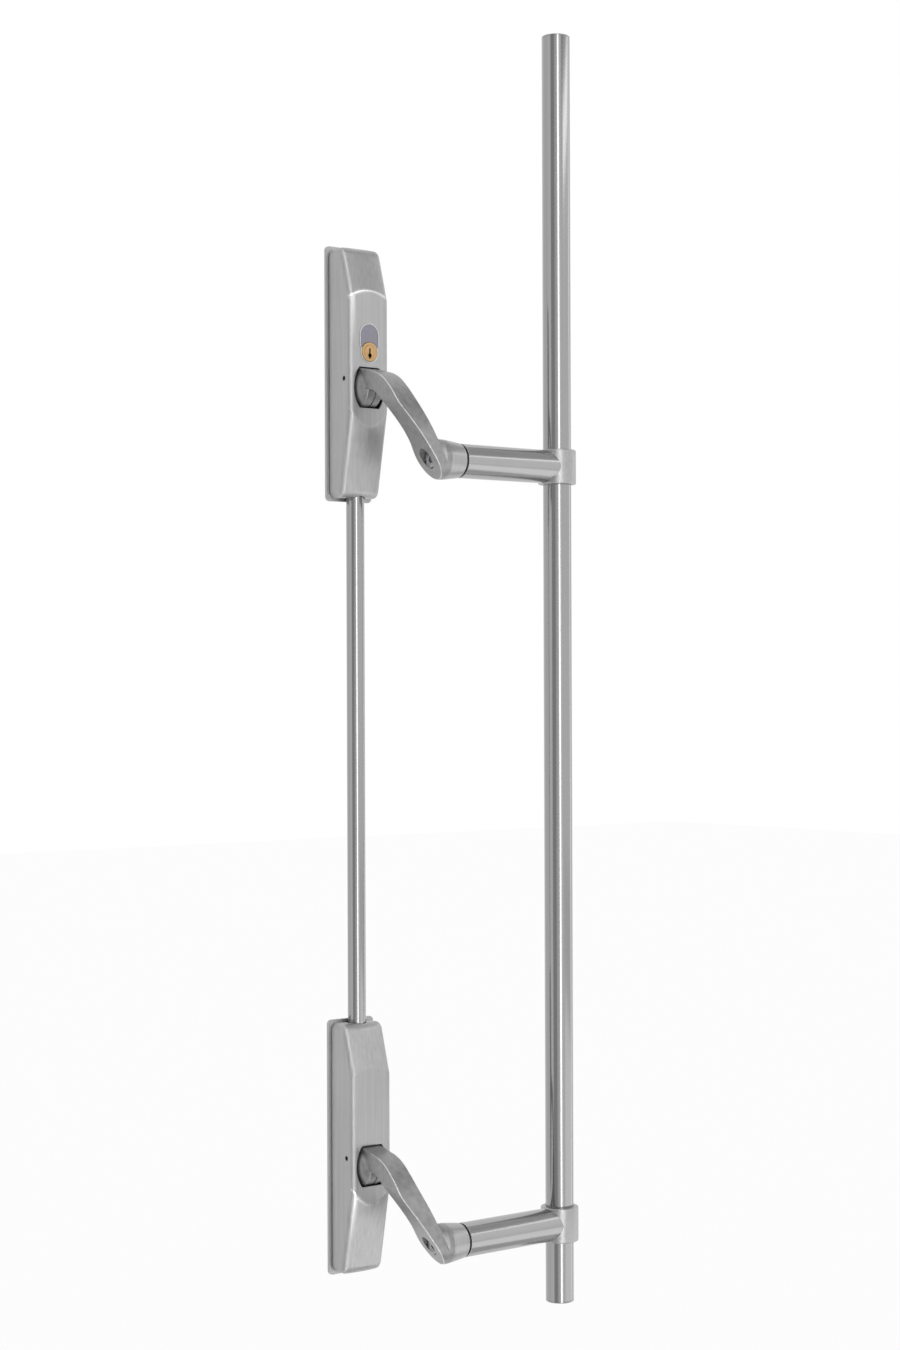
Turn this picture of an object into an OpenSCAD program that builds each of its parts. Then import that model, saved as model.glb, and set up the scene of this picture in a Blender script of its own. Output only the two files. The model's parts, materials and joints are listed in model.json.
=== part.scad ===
// Vertical push-bar door handle: two lever cases joined by a rod, with a standing bar.
// X runs across the door, +Y runs into the door and +Z is up. Millimetres.
// The origin is on the door plane, at the height of the upper lever's pivot.

/* [Layout] */
// Distance between the two lever pivots
unit_pitch = 680; // [500:10:900]
// Distance of the push bar's axis from the middle of the cases
bar_x = 171.5; // [150:0.5:220]
// Distance of the push bar's axis from the door
bar_out = 84.5; // [82:0.5:92]
// Height by which the bar pivots hang below the lever pivots
hub_drop = 64.5; // [60:0.5:72]
// Angle through which the levers turn when the bar is pushed
push_angle = 20; // [12:1:22]

/* [Base plates] */
// Width of a base plate
plate_w = 48.5; // [48:0.5:60]
// Thickness of a base plate
plate_t = 2.5; // [2:0.1:3]
// Reach of a base plate above the lever pivot
plate_above = 126; // [115:1:150]
// Reach of a base plate below the lever pivot
plate_below = 98; // [92:1:120]
// Corner radius of a base plate
plate_r = 4; // [2:0.5:8]
// Spacing of the fixing holes across the plate
fix_x = 28; // [26:0.5:29]
// Spacing of the fixing holes along the plate
fix_z = 160; // [140:1:170]
// Diameter of the fixing holes
fix_d = 5.2; // [4:0.1:6]

/* [Covers] */
// Margin of the base plate that shows around a cover
cover_margin = 2.7; // [1.5:0.1:2.8]
// Distance of a cover's flat front from the door
cover_out = 33.5; // [33:0.5:36]
// Wall thickness of a cover
cover_wall = 2; // [1.5:0.1:2.2]
// Radius of the long front edges
front_r = 4; // [3:0.25:6]
// Radius of the corners seen from the front
corner_r = 5; // [3:0.5:7]
// Radius where a slope rolls into its end
end_r = 6; // [3:0.5:8]
// Height of the ridge between the flat front and the top slope
top_ridge = 85; // [78:1:95]
// Angle of the top slope
top_slope = 16; // [8:0.5:17]
// Radius of the top slope across the cover
top_crown_r = 115; // [90:5:200]
// Depth of the ridge between the flat front and the bottom slope
bottom_ridge = 34; // [28:1:50]
// Angle of the bottom slope
bottom_slope = 11; // [5:0.5:12]
// Radius of the bottom slope across the cover
bottom_crown_r = 72; // [60:2:150]
// Height of the lever opening
slot_h = 35.4; // [35:0.2:37]
// Radius of the opening's sides
slot_side_r = 30; // [28:0.5:40]

/* [Chassis] */
// Gap between a cheek and the cover's side wall
chassis_gap = 1.15; // [1:0.05:1.3]
// Thickness of the chassis sheet
chassis_t = 2.2; // [1.8:0.1:2.4]
// Height of the cheeks above the door
cheek_out = 29.5; // [29:0.5:30.5]
// Reach of the chassis above the pivot
chassis_above = 50; // [48:1:60]
// Reach of the chassis below the pivot
chassis_below = 27; // [25:1:30]
// Thickness of the guide plates
guide_t = 2.5; // [1.5:0.1:3]
// Height of the guide plates from the pivot
guide_z = 20; // [19.5:0.1:20.3]
// Diameter of the screws that hold the chassis
chassis_screw_d = 4; // [3:0.5:5]
// Diameter of the cover's set screws
cover_screw_d = 4; // [3:0.5:4.5]
// Height of the cover's set screws above the pivot
cover_screw_z = 7.6; // [7.4:0.2:12]

/* [Levers] */
// Distance of the lever pivots from the door
pivot_out = 24; // [24:0.1:24.4]
// Radius of a lever's barrel
barrel_r = 18.5; // [18:0.1:18.6]
// Gap between a barrel's ends and the cheeks
barrel_gap = 1.4; // [0.8:0.1:1.6]
// Radius of the barrel's domed ends
dome_r = 32; // [28:0.5:34]
// Gap between the arm's root and the opening's left side
arm_left_gap = 0.6; // [0.6:0.1:2.5]
// Gap between the arm's root and the opening's right side
arm_right_gap = 1.6; // [0.6:0.1:3]
// Depth of the arm at its bend
arm_depth = 18; // [16:0.5:20]
// Radius of the arm's bend, outside
bend_r = 48; // [44:1:52]
// Slope of the arm's root
root_angle = 13; // [8:1:15]
// Slope of the arm's left face
left_slant = 35.5; // [34:0.5:37]
// Slope of the arm's right face
right_slant = 24.5; // [22:0.5:27]
// Turn of both side faces about the vertical
face_turn = 10; // [6:1:11]
// Diameter of the pivot pins
pivot_d = 8; // [7:0.1:8]
// Radius of the crank, from the pivot to the crank pin
crank_r = 13; // [12.8:0.1:13]
// Diameter of the crank pins
crank_d = 5; // [4:0.1:5]

/* [Bar pivots] */
// Diameter of a lever's hub
hub_d = 35; // [33:0.5:36]
// Distance of the hub's right face from the case's middle
hub_face = 38.6; // [38:0.2:42]
// Diameter of the recess for the screw head
recess_d = 16.6; // [16:0.2:18]
// Thickness of the hub's wall behind the recess
recess_wall = 5.6; // [4:0.2:6.4]
// Diameter of the pivot screw's shoulder
shoulder_d = 10; // [8:0.5:10.5]
// Diameter of the pivot screw's head
head_d = 15; // [14:0.2:15.4]
// Height of the pivot screw's head
head_h = 4; // [3:0.2:5]
// Diameter of the pivot screw's thread
thread_d = 8; // [6:0.5:8]

/* [Standoffs] */
// Diameter of the standoff tubes
tube_d = 30; // [28:0.5:32]
// Wall thickness of the standoff tubes
tube_wall = 2; // [1.2:0.1:3]
// Length of the tapered collar
collar_l = 18.8; // [15:0.2:25]
// Shadow gap between the collar and the tube
shadow_gap = 1.4; // [0.8:0.1:3]
// Length of the collar's spigot inside the tube
spigot_l = 22; // [15:1:40]

/* [Push bar] */
// Diameter of the push bar
bar_d = 25.4; // [22:0.1:27]
// Wall thickness of the push bar
bar_wall = 1.5; // [1.2:0.1:3]
// Reach of the bar above the upper lever pivot
bar_above = 323.5; // [150:0.5:400]
// Reach of the bar below the lower lever pivot
bar_below = 134.5; // [100:0.5:300]
// Height of a clamp ring
ring_h = 31; // [31:0.5:40]
// Wall thickness of a clamp ring
ring_wall = 4.2; // [3.5:0.1:6]
// Diameter of a ring's grub screws
grub_d = 5; // [4:0.5:6]
// Thickness of the end caps
cap_t = 1.6; // [1:0.1:4]

/* [Connecting rod] */
// Diameter of the rod
rod_d = 16; // [15:0.1:16]
// Wall thickness of the rod
rod_wall = 1.5; // [1:0.1:2.5]
// Distance of the rod's axis from the door
rod_out = 11.6; // [11.2:0.1:11.8]
// Distance of the rod's ends from the lever pivots
rod_start = 46; // [42:1:60]
// Length of the slides' spigots inside the rod
rod_spigot = 16; // [12:1:30]
// Thickness of a slide's blade
blade_t = 6.8; // [5:0.1:7]
// Depth of a slide's blade
blade_d = 9; // [8:0.1:9]

/* [Key cylinder] */
// Height of the key cylinder above the pivot
key_z = 31.3; // [31.2:0.1:34]
// Diameter of the key cylinder
key_d = 16.6; // [15:0.1:16.8]
// Diameter of the plug
plug_d = 11.6; // [10:0.1:12.5]
// Distance of the cylinder's back from the door
key_back = 17.4; // [17:0.1:18.5]
// Height by which the cylinder stands proud of the cover
key_proud = 0.9; // [0.5:0.1:2]
// Width of the indicator plate above the cylinder
plate_mark_w = 19; // [18:0.2:20]
// Height of the indicator plate's arch centre above the cylinder
mark_rise = 14.5; // [12:0.5:18]
// Width of the raised rim around plate and cylinder
rim_w = 0.9; // [0.6:0.1:1.5]
// Reach of the cam from the key's axis
cam_reach = 12.5; // [10:0.5:13.5]

/* [Return spring] */
// Mean diameter of the coil
coil_d = 6.8; // [6:0.1:7]
// Diameter of the wire
wire_d = 1.1; // [0.8:0.1:1.2]
// Number of turns
coil_turns = 7.5; // [5:0.5:9]

/* [Hidden] */
// Radial clearance of pins that turn
run_fit = 0.05;
// Gap between moving faces
gap = 0.3;
// Extra length of cutting tools
eps = 0.5;
// Size of a half space
big = 400;
// Number of steps of an arc in an outline
arc_steps = 10;

lower_z = -unit_pitch;
cover_w = plate_w - 2 * cover_margin;
cover_top = plate_above - cover_margin;
cover_bottom = -(plate_below - cover_margin);
chassis_w = cover_w - 2 * cover_wall - 2 * chassis_gap;
slot_w = chassis_w - 2 * chassis_t;
slot_gap = 1;
barrel_l = slot_w - 2 * barrel_gap;
dome_flat_r = 7.5;
root_z = slot_h / 2 - slot_gap;
slot_half = sqrt(pow(slot_side_r, 2) - pow(root_z, 2)) - slot_side_r + slot_w / 2;
arm_left = slot_half - arm_left_gap;
arm_right = slot_half - arm_right_gap;
barrel_cut = 2;
cheek_x = chassis_w / 2 - chassis_t;
web_out = plate_t + chassis_t;
blade_back = web_out + 0.5;
blade_fit = 0.2;
blade_gap = 0.4;
blade_mid = blade_back + blade_d / 2;
core_r = pivot_out - blade_back - blade_d - 0.7;
bush_wall = 2;
bush_d = pivot_d + 2 * bush_wall;
bush_inset = 1;
flange_t = barrel_gap - gap;
flange_rim = 1.2;
guide_lip = 2.6;
crank_lift = crank_r * sin(push_angle / 2);
crank_out = pivot_out - crank_r * cos(push_angle / 2);
crank_l = barrel_l - 8.8;
crank_fit = 0.1;
drive_z = -34;
drive_d = 5;
drive_l = 7;
drive_play = 3;
cover_screw_out = 25;
cover_screw_depth = 0.5;
screw_inset = 3.2;
screw_flare = 1.5;
drill_d = 2.2;
drill_l = 1.2;
socket_l = 1.8;
socket_share = 0.55;
hole_fit = 0.1;
skin = 0.02;
roll_ease = 0.2;
notch_gap = 0.7;
pivot_l = chassis_w + 1.8;
clip_t = 0.6;
clip_rim = 3;
clip_mouth = 4;
groove_depth = 0.8;
chassis_screw_x = cheek_x - chassis_screw_d / 2 - 1.5;

hub_r = hub_d / 2;
recess_floor = hub_face - recess_wall;
washer_t = 1;
washer_gap = 0.4;
head_x = recess_floor - washer_t - hole_fit;
head_socket_d = 7;
head_socket_l = 2.6;
hub_bush_d = shoulder_d + 3;
collar_start = hub_face + gap;
collar_end = collar_start + collar_l;
collar_step = 0.2;
thread_gap = 2;
tube_start = collar_end + shadow_gap;
bar_z0 = lower_z - bar_below;
ring_bore = bar_d + 2 * run_fit;
ring_d = ring_bore + 2 * ring_wall;
edge = 1;
grub_l = ring_wall - 0.6;
cap_bevel = 0.6;
cap_plug = 8;

rod_bore = rod_d - 2 * rod_wall;
slide_boss = 6;
slide_pin_d = 3;
blade_top = guide_z + guide_t + 2;
spring_z0 = blade_top;
spring_z1 = 46;
bracket_t = 2.5;
bracket_lip = 6;
spring_pin_d = 3.6;
spring_pin_l = 9;
spring_seat_l = 3;
key_front = cover_out + key_proud;
plug_proud = 0.1;
keyway_w = 1.5;
keyway_up = 2.8;
keyway_down = 5.4;
keyway_l = 14;
keyhole_d = 3.6;
keyhole_drop = 3.1;
tail_d = 6;
cam_t = 2;
cam_d = 10;
cam_w = 8;
cam_out = key_back - cam_t - gap;
nut_d = key_d + 6;
nut_t = 3.2;
mark_t = 0.3;
mark_foot = 4;
rim_t = 0.6;

// The outside of the arm is a long arc from the hub, then the bend, then a straight root.
sweep_turn = 50;
bend_turn = 90 - root_angle;
hub_outer = bar_out + hub_r;
sweep_num_a = root_z + hub_drop - bend_r * (sin(bend_turn) - sin(sweep_turn));
sweep_num_b = hub_outer + bend_r * (cos(bend_turn) - cos(sweep_turn)) - cover_out;
sweep_den = sin(sweep_turn) - tan(root_angle) * (1 - cos(sweep_turn));
sweep_r = (sweep_num_a - tan(root_angle) * sweep_num_b) / sweep_den;
sweep_c = [hub_outer - sweep_r, -hub_drop];
bend_c = sweep_c + (sweep_r - bend_r) * [cos(sweep_turn), sin(sweep_turn)];
root_reach = 3;
root_u = pivot_out + root_reach;
waist_back = 6;
waist_up = 20;
waist = [bar_out - hub_r + waist_back, -hub_drop + waist_up];
waist_in = 3;
waist_h = 10;
waist_turn = 18;
left_knee_z = -4.5;
right_knee_z = -9;
right_knee_back = 3.5;
root_knee_out = 6;
left_knee = [-arm_left, cover_out, left_knee_z];
right_knee = [arm_right, bar_out - right_knee_back, right_knee_z];
root_knee = [arm_right, cover_out + root_knee_out, right_knee_z];
root_turn = 19;

metal = [0.66, 0.66, 0.66];
cast_metal = [0.56, 0.56, 0.56];
bright = [0.78, 0.78, 0.79];
zinc = [0.62, 0.64, 0.66];
brass = [0.80, 0.62, 0.34];

// Points of an arc around c, from angle a0 to angle a1
function arc(c, r, a0, a1) =
    [for (i = [0:arc_steps]) let (a = a0 + (a1 - a0) * i / arc_steps) c + r * [cos(a), sin(a)]];

// Extrudes an outline of (distance from the door, height) from x0 to x1
module side_prism(x0, x1) {
    translate([x1, 0, 0])
        rotate([90, 0, -90])
            linear_extrude(x1 - x0)
                children();
}

// Extrudes an outline of (x, z) outwards, from one distance from the door to another
module front_prism(out0, out1) {
    translate([0, -out0, 0])
        rotate([90, 0, 0])
            linear_extrude(out1 - out0)
                children();
}

// Cylinder along X at a distance from the door and a height
module x_cylinder(d, x0, x1, out, z) {
    translate([x0, -out, z])
        rotate([0, 90, 0])
            cylinder(d = d, h = x1 - x0, $fn = 64);
}

// Cylinder along Y, from one distance from the door to another
module y_cylinder(d, x, z, out0, out1) {
    translate([x, -out0, z])
        rotate([90, 0, 0])
            cylinder(d = d, h = out1 - out0, $fn = 64);
}

// Box between two corners
module box(a, b) {
    translate(a)
        cube(b - a);
}

// Rectangle with round corners around the middle of z0 and z1
module round_rect(w, z0, z1, r) {
    for (sx = [-1, 1], z = [z0 + r, z1 - r])
        translate([sx * (w / 2 - r), z])
            circle(r = r, $fn = 48);
    translate([-w / 2, z0 + r])
        square([w, z1 - z0 - 2 * r]);
    translate([-w / 2 + r, z0])
        square([w - 2 * r, z1 - z0]);
}

// Section of a cover across its length: the front at y = 0 and round front edges
module cover_section(w, r, crown) {
    intersection() {
        union() {
            translate([-w / 2 + r, 0])
                square([w - 2 * r, big]);
            translate([-w / 2, r])
                square([w, big]);
            for (sx = [-1, 1])
                translate([sx * (w / 2 - r), r])
                    circle(r = r, $fn = 48);
        }
        if (crown > 0)
            translate([0, big])
                union() {
                    translate([0, crown - big])
                        circle(r = crown, $fn = 360);
                    translate([-big / 2, -big + crown / 2])
                        square([big, big]);
                }
    }
}

// Outside of a cover with its skin moved inwards by s
module cover_form(s) {
    w = cover_w - 2 * s;
    r = front_r - s;
    out = cover_out - s;
    intersection() {
        translate([0, -out, cover_bottom - eps])
            linear_extrude(cover_top - cover_bottom + 2 * eps)
                cover_section(w, r, 0);
        translate([0, -out, top_ridge])
            rotate([-top_slope, 0, 0])
                translate([0, 0, -big / 2])
                    linear_extrude(big)
                        cover_section(w, r, top_crown_r);
        translate([0, -out, -bottom_ridge])
            rotate([bottom_slope, 0, 0])
                translate([0, 0, -big / 2])
                    linear_extrude(big)
                        cover_section(w, r, bottom_crown_r);
        front_prism(s > 0 ? 0 : plate_t, cover_out + eps)
            round_rect(w + skin, cover_bottom + s, cover_top - s, corner_r - s);
        side_prism(-cover_w, cover_w)
            cover_side(s);
    }
}

// Centre of the roll between a slope and its end, as (distance from the door, height)
function roll_centre(s, ridge, slope, end) =
    let (r = end_r - s, z = end - sign(end) * (r + s))
    [cover_out - s - (abs(z) - ridge) * tan(slope) - r / cos(slope) + roll_ease, z];

// Side view of a cover: square at the door and rolled at both ends
module cover_side(s) {
    r = end_r - s;
    top_c = roll_centre(s, top_ridge, top_slope, cover_top);
    bottom_c = roll_centre(s, bottom_ridge, bottom_slope, cover_bottom);
    for (c = [top_c, bottom_c])
        translate(c)
            circle(r = r, $fn = 48);
    polygon([[-eps, cover_bottom + s], [bottom_c[0], cover_bottom + s], bottom_c,
        bottom_c + r * [cos(bottom_slope), -sin(bottom_slope)],
        [cover_out + eps, -bottom_ridge], [cover_out + eps, top_ridge],
        top_c + r * [cos(top_slope), sin(top_slope)], top_c,
        [top_c[0], cover_top - s], [-eps, cover_top - s]]);
}

// Outline of the lever opening
module slot_outline() {
    intersection() {
        translate([-slot_w, -slot_h / 2])
            square([2 * slot_w, slot_h]);
        translate([slot_side_r - slot_w / 2, 0])
            circle(r = slot_side_r, $fn = 180);
        translate([slot_w / 2 - slot_side_r, 0])
            circle(r = slot_side_r, $fn = 180);
    }
}

module cover(end_side, with_key) {
    color(metal)
        difference() {
            cover_form(0);
            cover_form(cover_wall);
            front_prism(cover_out - 3 * cover_wall, cover_out + 1)
                slot_outline();
            x_cylinder(cover_screw_d + 2 * hole_fit, -cover_w, cover_w, cover_screw_out, cover_screw_z);
            // The rod leaves through a notch in the end
            rod_end = end_side < 0 ? cover_bottom : cover_top;
            notch_r = rod_d / 2 + notch_gap;
            translate([0, -rod_out, rod_end - 3 * cover_wall])
                cylinder(r = notch_r, h = 6 * cover_wall, $fn = 64);
            box([-notch_r, -rod_out, rod_end - 3 * cover_wall],
                [notch_r, 0, rod_end + 3 * cover_wall]);
            if (with_key)
                y_cylinder(key_d + 2 * hole_fit, 0, key_z, cover_out - 3 * cover_wall, cover_out + 1);
        }
}

module base_plate(above, drive_slot) {
    color(metal)
        difference() {
            front_prism(0, plate_t)
                round_rect(plate_w, -plate_below, plate_above, plate_r);
            for (sx = [-1, 1], sz = [-1, 1])
                y_cylinder(fix_d, sx * fix_x / 2, sz * fix_z / 2, -eps, plate_t + eps);
            chassis_screw_holes(above);
            if (drive_slot)
                drive_slot_shape();
        }
}

// Slot behind the upper slide, through which a pin in the slide reaches the lock
module drive_slot_shape() {
    w = drive_d + drive_play;
    for (z = [drive_z, drive_z + 2 * crank_lift])
        y_cylinder(w, 0, z, -eps, plate_t + eps);
    box([-w / 2, -plate_t - eps, drive_z], [w / 2, eps, drive_z + 2 * crank_lift]);
}

// Places of the screws of a chassis that reaches up to above, as (x, z)
function chassis_screw_places(above) =
    [for (sx = [-1, 1], z = [above - screw_inset, -chassis_below + screw_inset])
        [sx * chassis_screw_x, z]];

module chassis_screw(p) {
    y_cylinder(chassis_screw_d, p[0], p[1], 0, web_out);
    translate([p[0], 0, p[1]])
        rotate([90, 0, 0])
            cylinder(d1 = chassis_screw_d + 2 * screw_flare, d2 = chassis_screw_d, h = screw_flare,
                $fn = 64);
}

module chassis_screw_holes(above) {
    for (p = chassis_screw_places(above))
        chassis_screw(p);
}

module chassis_screws(above) {
    color(zinc)
        for (p = chassis_screw_places(above))
            difference() {
                chassis_screw(p);
                y_cylinder(drill_d, p[0], p[1], -eps, drill_l);
            }
}

module chassis(above) {
    color(zinc)
        difference() {
            union() {
                box([-chassis_w / 2, -web_out, -chassis_below], [chassis_w / 2, -plate_t, above]);
                for (sx = [-1, 1])
                    translate([sx * (chassis_w - chassis_t) / 2, 0, 0])
                        box([-chassis_t / 2, -cheek_out, -chassis_below],
                            [chassis_t / 2, -plate_t, above]);
            }
            x_cylinder(pivot_d, -chassis_w, chassis_w, pivot_out, 0);
            x_cylinder(cover_screw_d, -chassis_w, chassis_w, cover_screw_out, cover_screw_z);
            for (p = chassis_screw_places(above))
                y_cylinder(chassis_screw_d, p[0], p[1], plate_t - eps, web_out + eps);
        }
}

module guides() {
    color(zinc)
        for (sz = [-1, 1])
            translate([0, 0, sz * (guide_z + guide_t / 2)])
                difference() {
                    box([-cheek_x, -blade_back - blade_d - guide_lip, -guide_t / 2],
                        [cheek_x, -web_out, guide_t / 2]);
                    box([-blade_t / 2 - blade_fit, -blade_back - blade_d - gap, -guide_t],
                        [blade_t / 2 + blade_fit, eps, guide_t]);
                }
}

// Set screw through a cover's right side into the cheek, flush with the cover
module cover_screw() {
    x0 = cheek_x + hole_fit;
    x1 = cover_w / 2 - cover_screw_depth;
    translate([0, -cover_screw_out, cover_screw_z])
        rotate([0, 90, 0])
            difference() {
                translate([0, 0, x0])
                    cylinder(d = cover_screw_d, h = x1 - x0, $fn = 48);
                translate([0, 0, x1 - socket_l])
                    cylinder(d = cover_screw_d * socket_share, h = socket_l + eps, $fn = 6);
            }
}

module cover_screws() {
    color("dimgray")
        for (sx = [0, 1])
            mirror([sx, 0, 0])
                cover_screw();
}

module pivot_pin() {
    color(bright)
        difference() {
            x_cylinder(pivot_d, -pivot_l / 2, pivot_l / 2, pivot_out, 0);
            for (sx = [-1, 1])
                clip_groove(sx);
        }
}

module clip_groove(sx) {
    difference() {
        clip_disc(sx, pivot_d + 2 * eps);
        clip_disc(sx, pivot_d - 2 * groove_depth);
    }
}

// Disc of diameter d, as thick as a clip, against the outside of a cheek
module clip_disc(sx, d) {
    x0 = chassis_w / 2 + run_fit;
    mirror([sx > 0 ? 0 : 1, 0, 0])
        x_cylinder(d, x0, x0 + clip_t, pivot_out, 0);
}

module pivot_clips() {
    color("dimgray")
        for (sx = [-1, 1])
            difference() {
                clip_disc(sx, pivot_d + clip_rim);
                clip_disc(sx, pivot_d - 2 * groove_depth);
                box([-chassis_w, -pivot_out - clip_mouth / 2, -pivot_d],
                    [chassis_w, -pivot_out + clip_mouth / 2, 0]);
            }
}

// Barrel at the lever's root: a body of revolution whose ends are domed
module barrel() {
    dome_c = sqrt(pow(dome_r, 2) - pow(dome_flat_r, 2)) - barrel_l / 2;
    translate([0, -pivot_out, 0])
        rotate([0, 90, 0])
            rotate_extrude($fn = 96)
                intersection() {
                    translate([0, -barrel_l / 2])
                        square([barrel_r, barrel_l]);
                    translate([0, dome_c])
                        circle(r = dome_r, $fn = 180);
                    translate([0, -dome_c])
                        circle(r = dome_r, $fn = 180);
                }
}

// Half space to the right of a slanted side face through p = (x, distance from the door, height)
module right_of(p, slant, turn) {
    translate([p[0], -p[1], p[2]])
        rotate([0, -slant, -turn])
            box([0, -big / 2, -big / 2], [big / 2, big / 2, big / 2]);
}

module arm_outline() {
    polygon(concat(
        [[root_u, root_z + (cover_out - root_u) * tan(root_angle)]],
        arc(bend_c, bend_r, bend_turn, sweep_turn),
        arc(sweep_c, sweep_r, sweep_turn, 0),
        [[bar_out - hub_r, -hub_drop], waist - [waist_in, waist_h], waist],
        arc(bend_c, bend_r - arm_depth, waist_turn, bend_turn),
        [arc(bend_c, bend_r - arm_depth, waist_turn, bend_turn)[arc_steps]
            + (bend_c[0] + (bend_r - arm_depth) * cos(bend_turn) - root_u) * [-1, tan(root_angle)]]));
}

module arm() {
    intersection() {
        side_prism(-arm_left, hub_face)
            arm_outline();
        right_of(left_knee, left_slant, face_turn);
        union() {
            box([-big / 2, -big / 2, -big / 2], [arm_right, big / 2, big / 2]);
            difference() {
                box([-big / 2, -big / 2, -big / 2], [big / 2, big / 2, 0]);
                right_of(right_knee, right_slant, face_turn);
                right_of(root_knee, right_slant, -root_turn);
            }
        }
    }
}

module hub() {
    intersection() {
        x_cylinder(hub_d, 0, hub_face, bar_out, -hub_drop);
        right_of(left_knee, left_slant, face_turn);
    }
}

module lever() {
    color(cast_metal)
        difference() {
            union() {
                barrel();
                arm();
                hub();
            }
            // Slot in the door side of the barrel for the slide's blade
            difference() {
                box([-blade_t / 2 - blade_gap, -pivot_out + barrel_cut, -barrel_r - eps],
                    [blade_t / 2 + blade_gap, 0, barrel_r + eps]);
                x_cylinder(2 * core_r, -blade_t, blade_t, pivot_out, 0);
            }
            x_cylinder(bush_d, -barrel_l, barrel_l, pivot_out, 0);
            x_cylinder(crank_d, -crank_l / 2, crank_l / 2, crank_out, -crank_lift);
            x_cylinder(hub_bush_d, 0, hub_face + eps, bar_out, -hub_drop);
            x_cylinder(recess_d, 0, recess_floor, bar_out, -hub_drop);
        }
}

module lever_bushes() {
    color(brass)
        for (sx = [-1, 1])
            mirror([sx > 0 ? 0 : 1, 0, 0])
                difference() {
                    union() {
                        x_cylinder(bush_d, bush_inset, barrel_l / 2 + flange_t, pivot_out, 0);
                        x_cylinder(bush_d + 2 * flange_rim, barrel_l / 2, barrel_l / 2 + flange_t,
                            pivot_out, 0);
                    }
                    x_cylinder(pivot_d + 2 * run_fit, 0, barrel_l, pivot_out, 0);
                }
}

module crank_pin() {
    color(bright)
        x_cylinder(crank_d, -crank_l / 2, crank_l / 2, crank_out, -crank_lift);
}

// Slide: a blade that the crank pin lifts, and a spigot in the end of the rod
module slide(dir, with_drive) {
    color(zinc)
        difference() {
            union() {
                far = dir * (slide_boss - rod_start);
                box([-blade_t / 2, -blade_back - blade_d, min(far, dir * blade_top)],
                    [blade_t / 2, -blade_back, max(far, dir * blade_top)]);
                translate([0, -rod_out, dir > 0 ? -rod_start : rod_start - slide_boss])
                    cylinder(d = rod_d, h = slide_boss, $fn = 64);
                translate([0, -rod_out, dir > 0 ? -rod_start - rod_spigot : rod_start])
                    cylinder(d = rod_bore, h = rod_spigot, $fn = 64);
                if (with_drive)
                    translate([0, -blade_mid, blade_top])
                        cylinder(d = spring_pin_d, h = spring_seat_l, $fn = 32);
            }
            // Cross slot for the crank pin, open towards the pivot
            x_cylinder(crank_d + 2 * crank_fit, -blade_t, blade_t, pivot_out - crank_r, -crank_lift);
            box([-blade_t, -blade_back - blade_d - 1, -crank_lift - crank_d / 2 - crank_fit],
                [blade_t, -pivot_out + crank_r, -crank_lift + crank_d / 2 + crank_fit]);
            slide_pin_shape(dir);
            if (with_drive)
                y_cylinder(drive_d, 0, drive_z, blade_back - eps, blade_back + drive_l);
        }
}

module slide_pin_shape(dir) {
    x_cylinder(slide_pin_d, -rod_d / 2, rod_d / 2, rod_out, -dir * (rod_start + rod_spigot / 2));
}

module slide_pin(dir) {
    color(bright)
        slide_pin_shape(dir);
}

module connecting_rod() {
    color(bright)
        difference() {
            translate([0, -rod_out, lower_z + rod_start])
                cylinder(d = rod_d, h = unit_pitch - 2 * rod_start, $fn = 96);
            translate([0, -rod_out, lower_z + rod_start - 1])
                cylinder(d = rod_bore, h = unit_pitch - 2 * rod_start + 2, $fn = 96);
            slide_pin_shape(1);
            translate([0, 0, lower_z])
                slide_pin_shape(-1);
        }
}

module key_cylinder() {
    color(brass)
        difference() {
            y_cylinder(key_d, 0, key_z, key_back, key_front);
            y_cylinder(plug_d + 2 * run_fit, 0, key_z, key_back - eps, key_front + eps);
        }
}

module cylinder_nut() {
    color(zinc)
        difference() {
            y_cylinder(nut_d, 0, key_z, cover_out - cover_wall - nut_t, cover_out - cover_wall - hole_fit);
            y_cylinder(key_d, 0, key_z, key_back, key_front);
        }
}

module key_plug() {
    color(brass)
        difference() {
            union() {
                y_cylinder(plug_d, 0, key_z, key_back, key_front + plug_proud);
                y_cylinder(tail_d, 0, key_z, cam_out - 2 * hole_fit, key_back + eps);
            }
            box([-keyway_w / 2, -key_front - eps, key_z - keyway_down],
                [keyway_w / 2, -key_front + keyway_l, key_z + keyway_up]);
            y_cylinder(keyhole_d, 0, key_z - keyhole_drop, key_front - keyway_l, key_front + eps);
        }
}

module cylinder_cam() {
    color(zinc)
        difference() {
            union() {
                y_cylinder(cam_d, 0, key_z, cam_out, cam_out + cam_t);
                box([-cam_w / 2, -cam_out - cam_t, key_z], [cam_w / 2, -cam_out, key_z + cam_reach]);
            }
            y_cylinder(tail_d, 0, key_z, cam_out - eps, cam_out + cam_t + eps);
        }
}

// Outline of the indicator plate and the cylinder together, grown by g
module mark_outline(g) {
    w = plate_mark_w + 2 * g;
    translate([0, mark_rise])
        circle(d = w, $fn = 64);
    translate([-w / 2, mark_foot])
        square([w, mark_rise - mark_foot]);
    circle(d = key_d + 2 * gap + 2 * g, $fn = 64);
}

module indicator_plate() {
    color([0.62, 0.60, 0.66])
        translate([0, 0, key_z])
            front_prism(cover_out, cover_out + mark_t)
                difference() {
                    mark_outline(0);
                    circle(d = key_d + 2 * gap, $fn = 64);
                    translate([-plate_mark_w, -plate_mark_w])
                        square([2 * plate_mark_w, plate_mark_w]);
                }
}

module indicator_rim() {
    color(bright)
        translate([0, 0, key_z])
            front_prism(cover_out, cover_out + rim_t)
                difference() {
                    mark_outline(rim_w);
                    mark_outline(0);
                }
}

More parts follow.
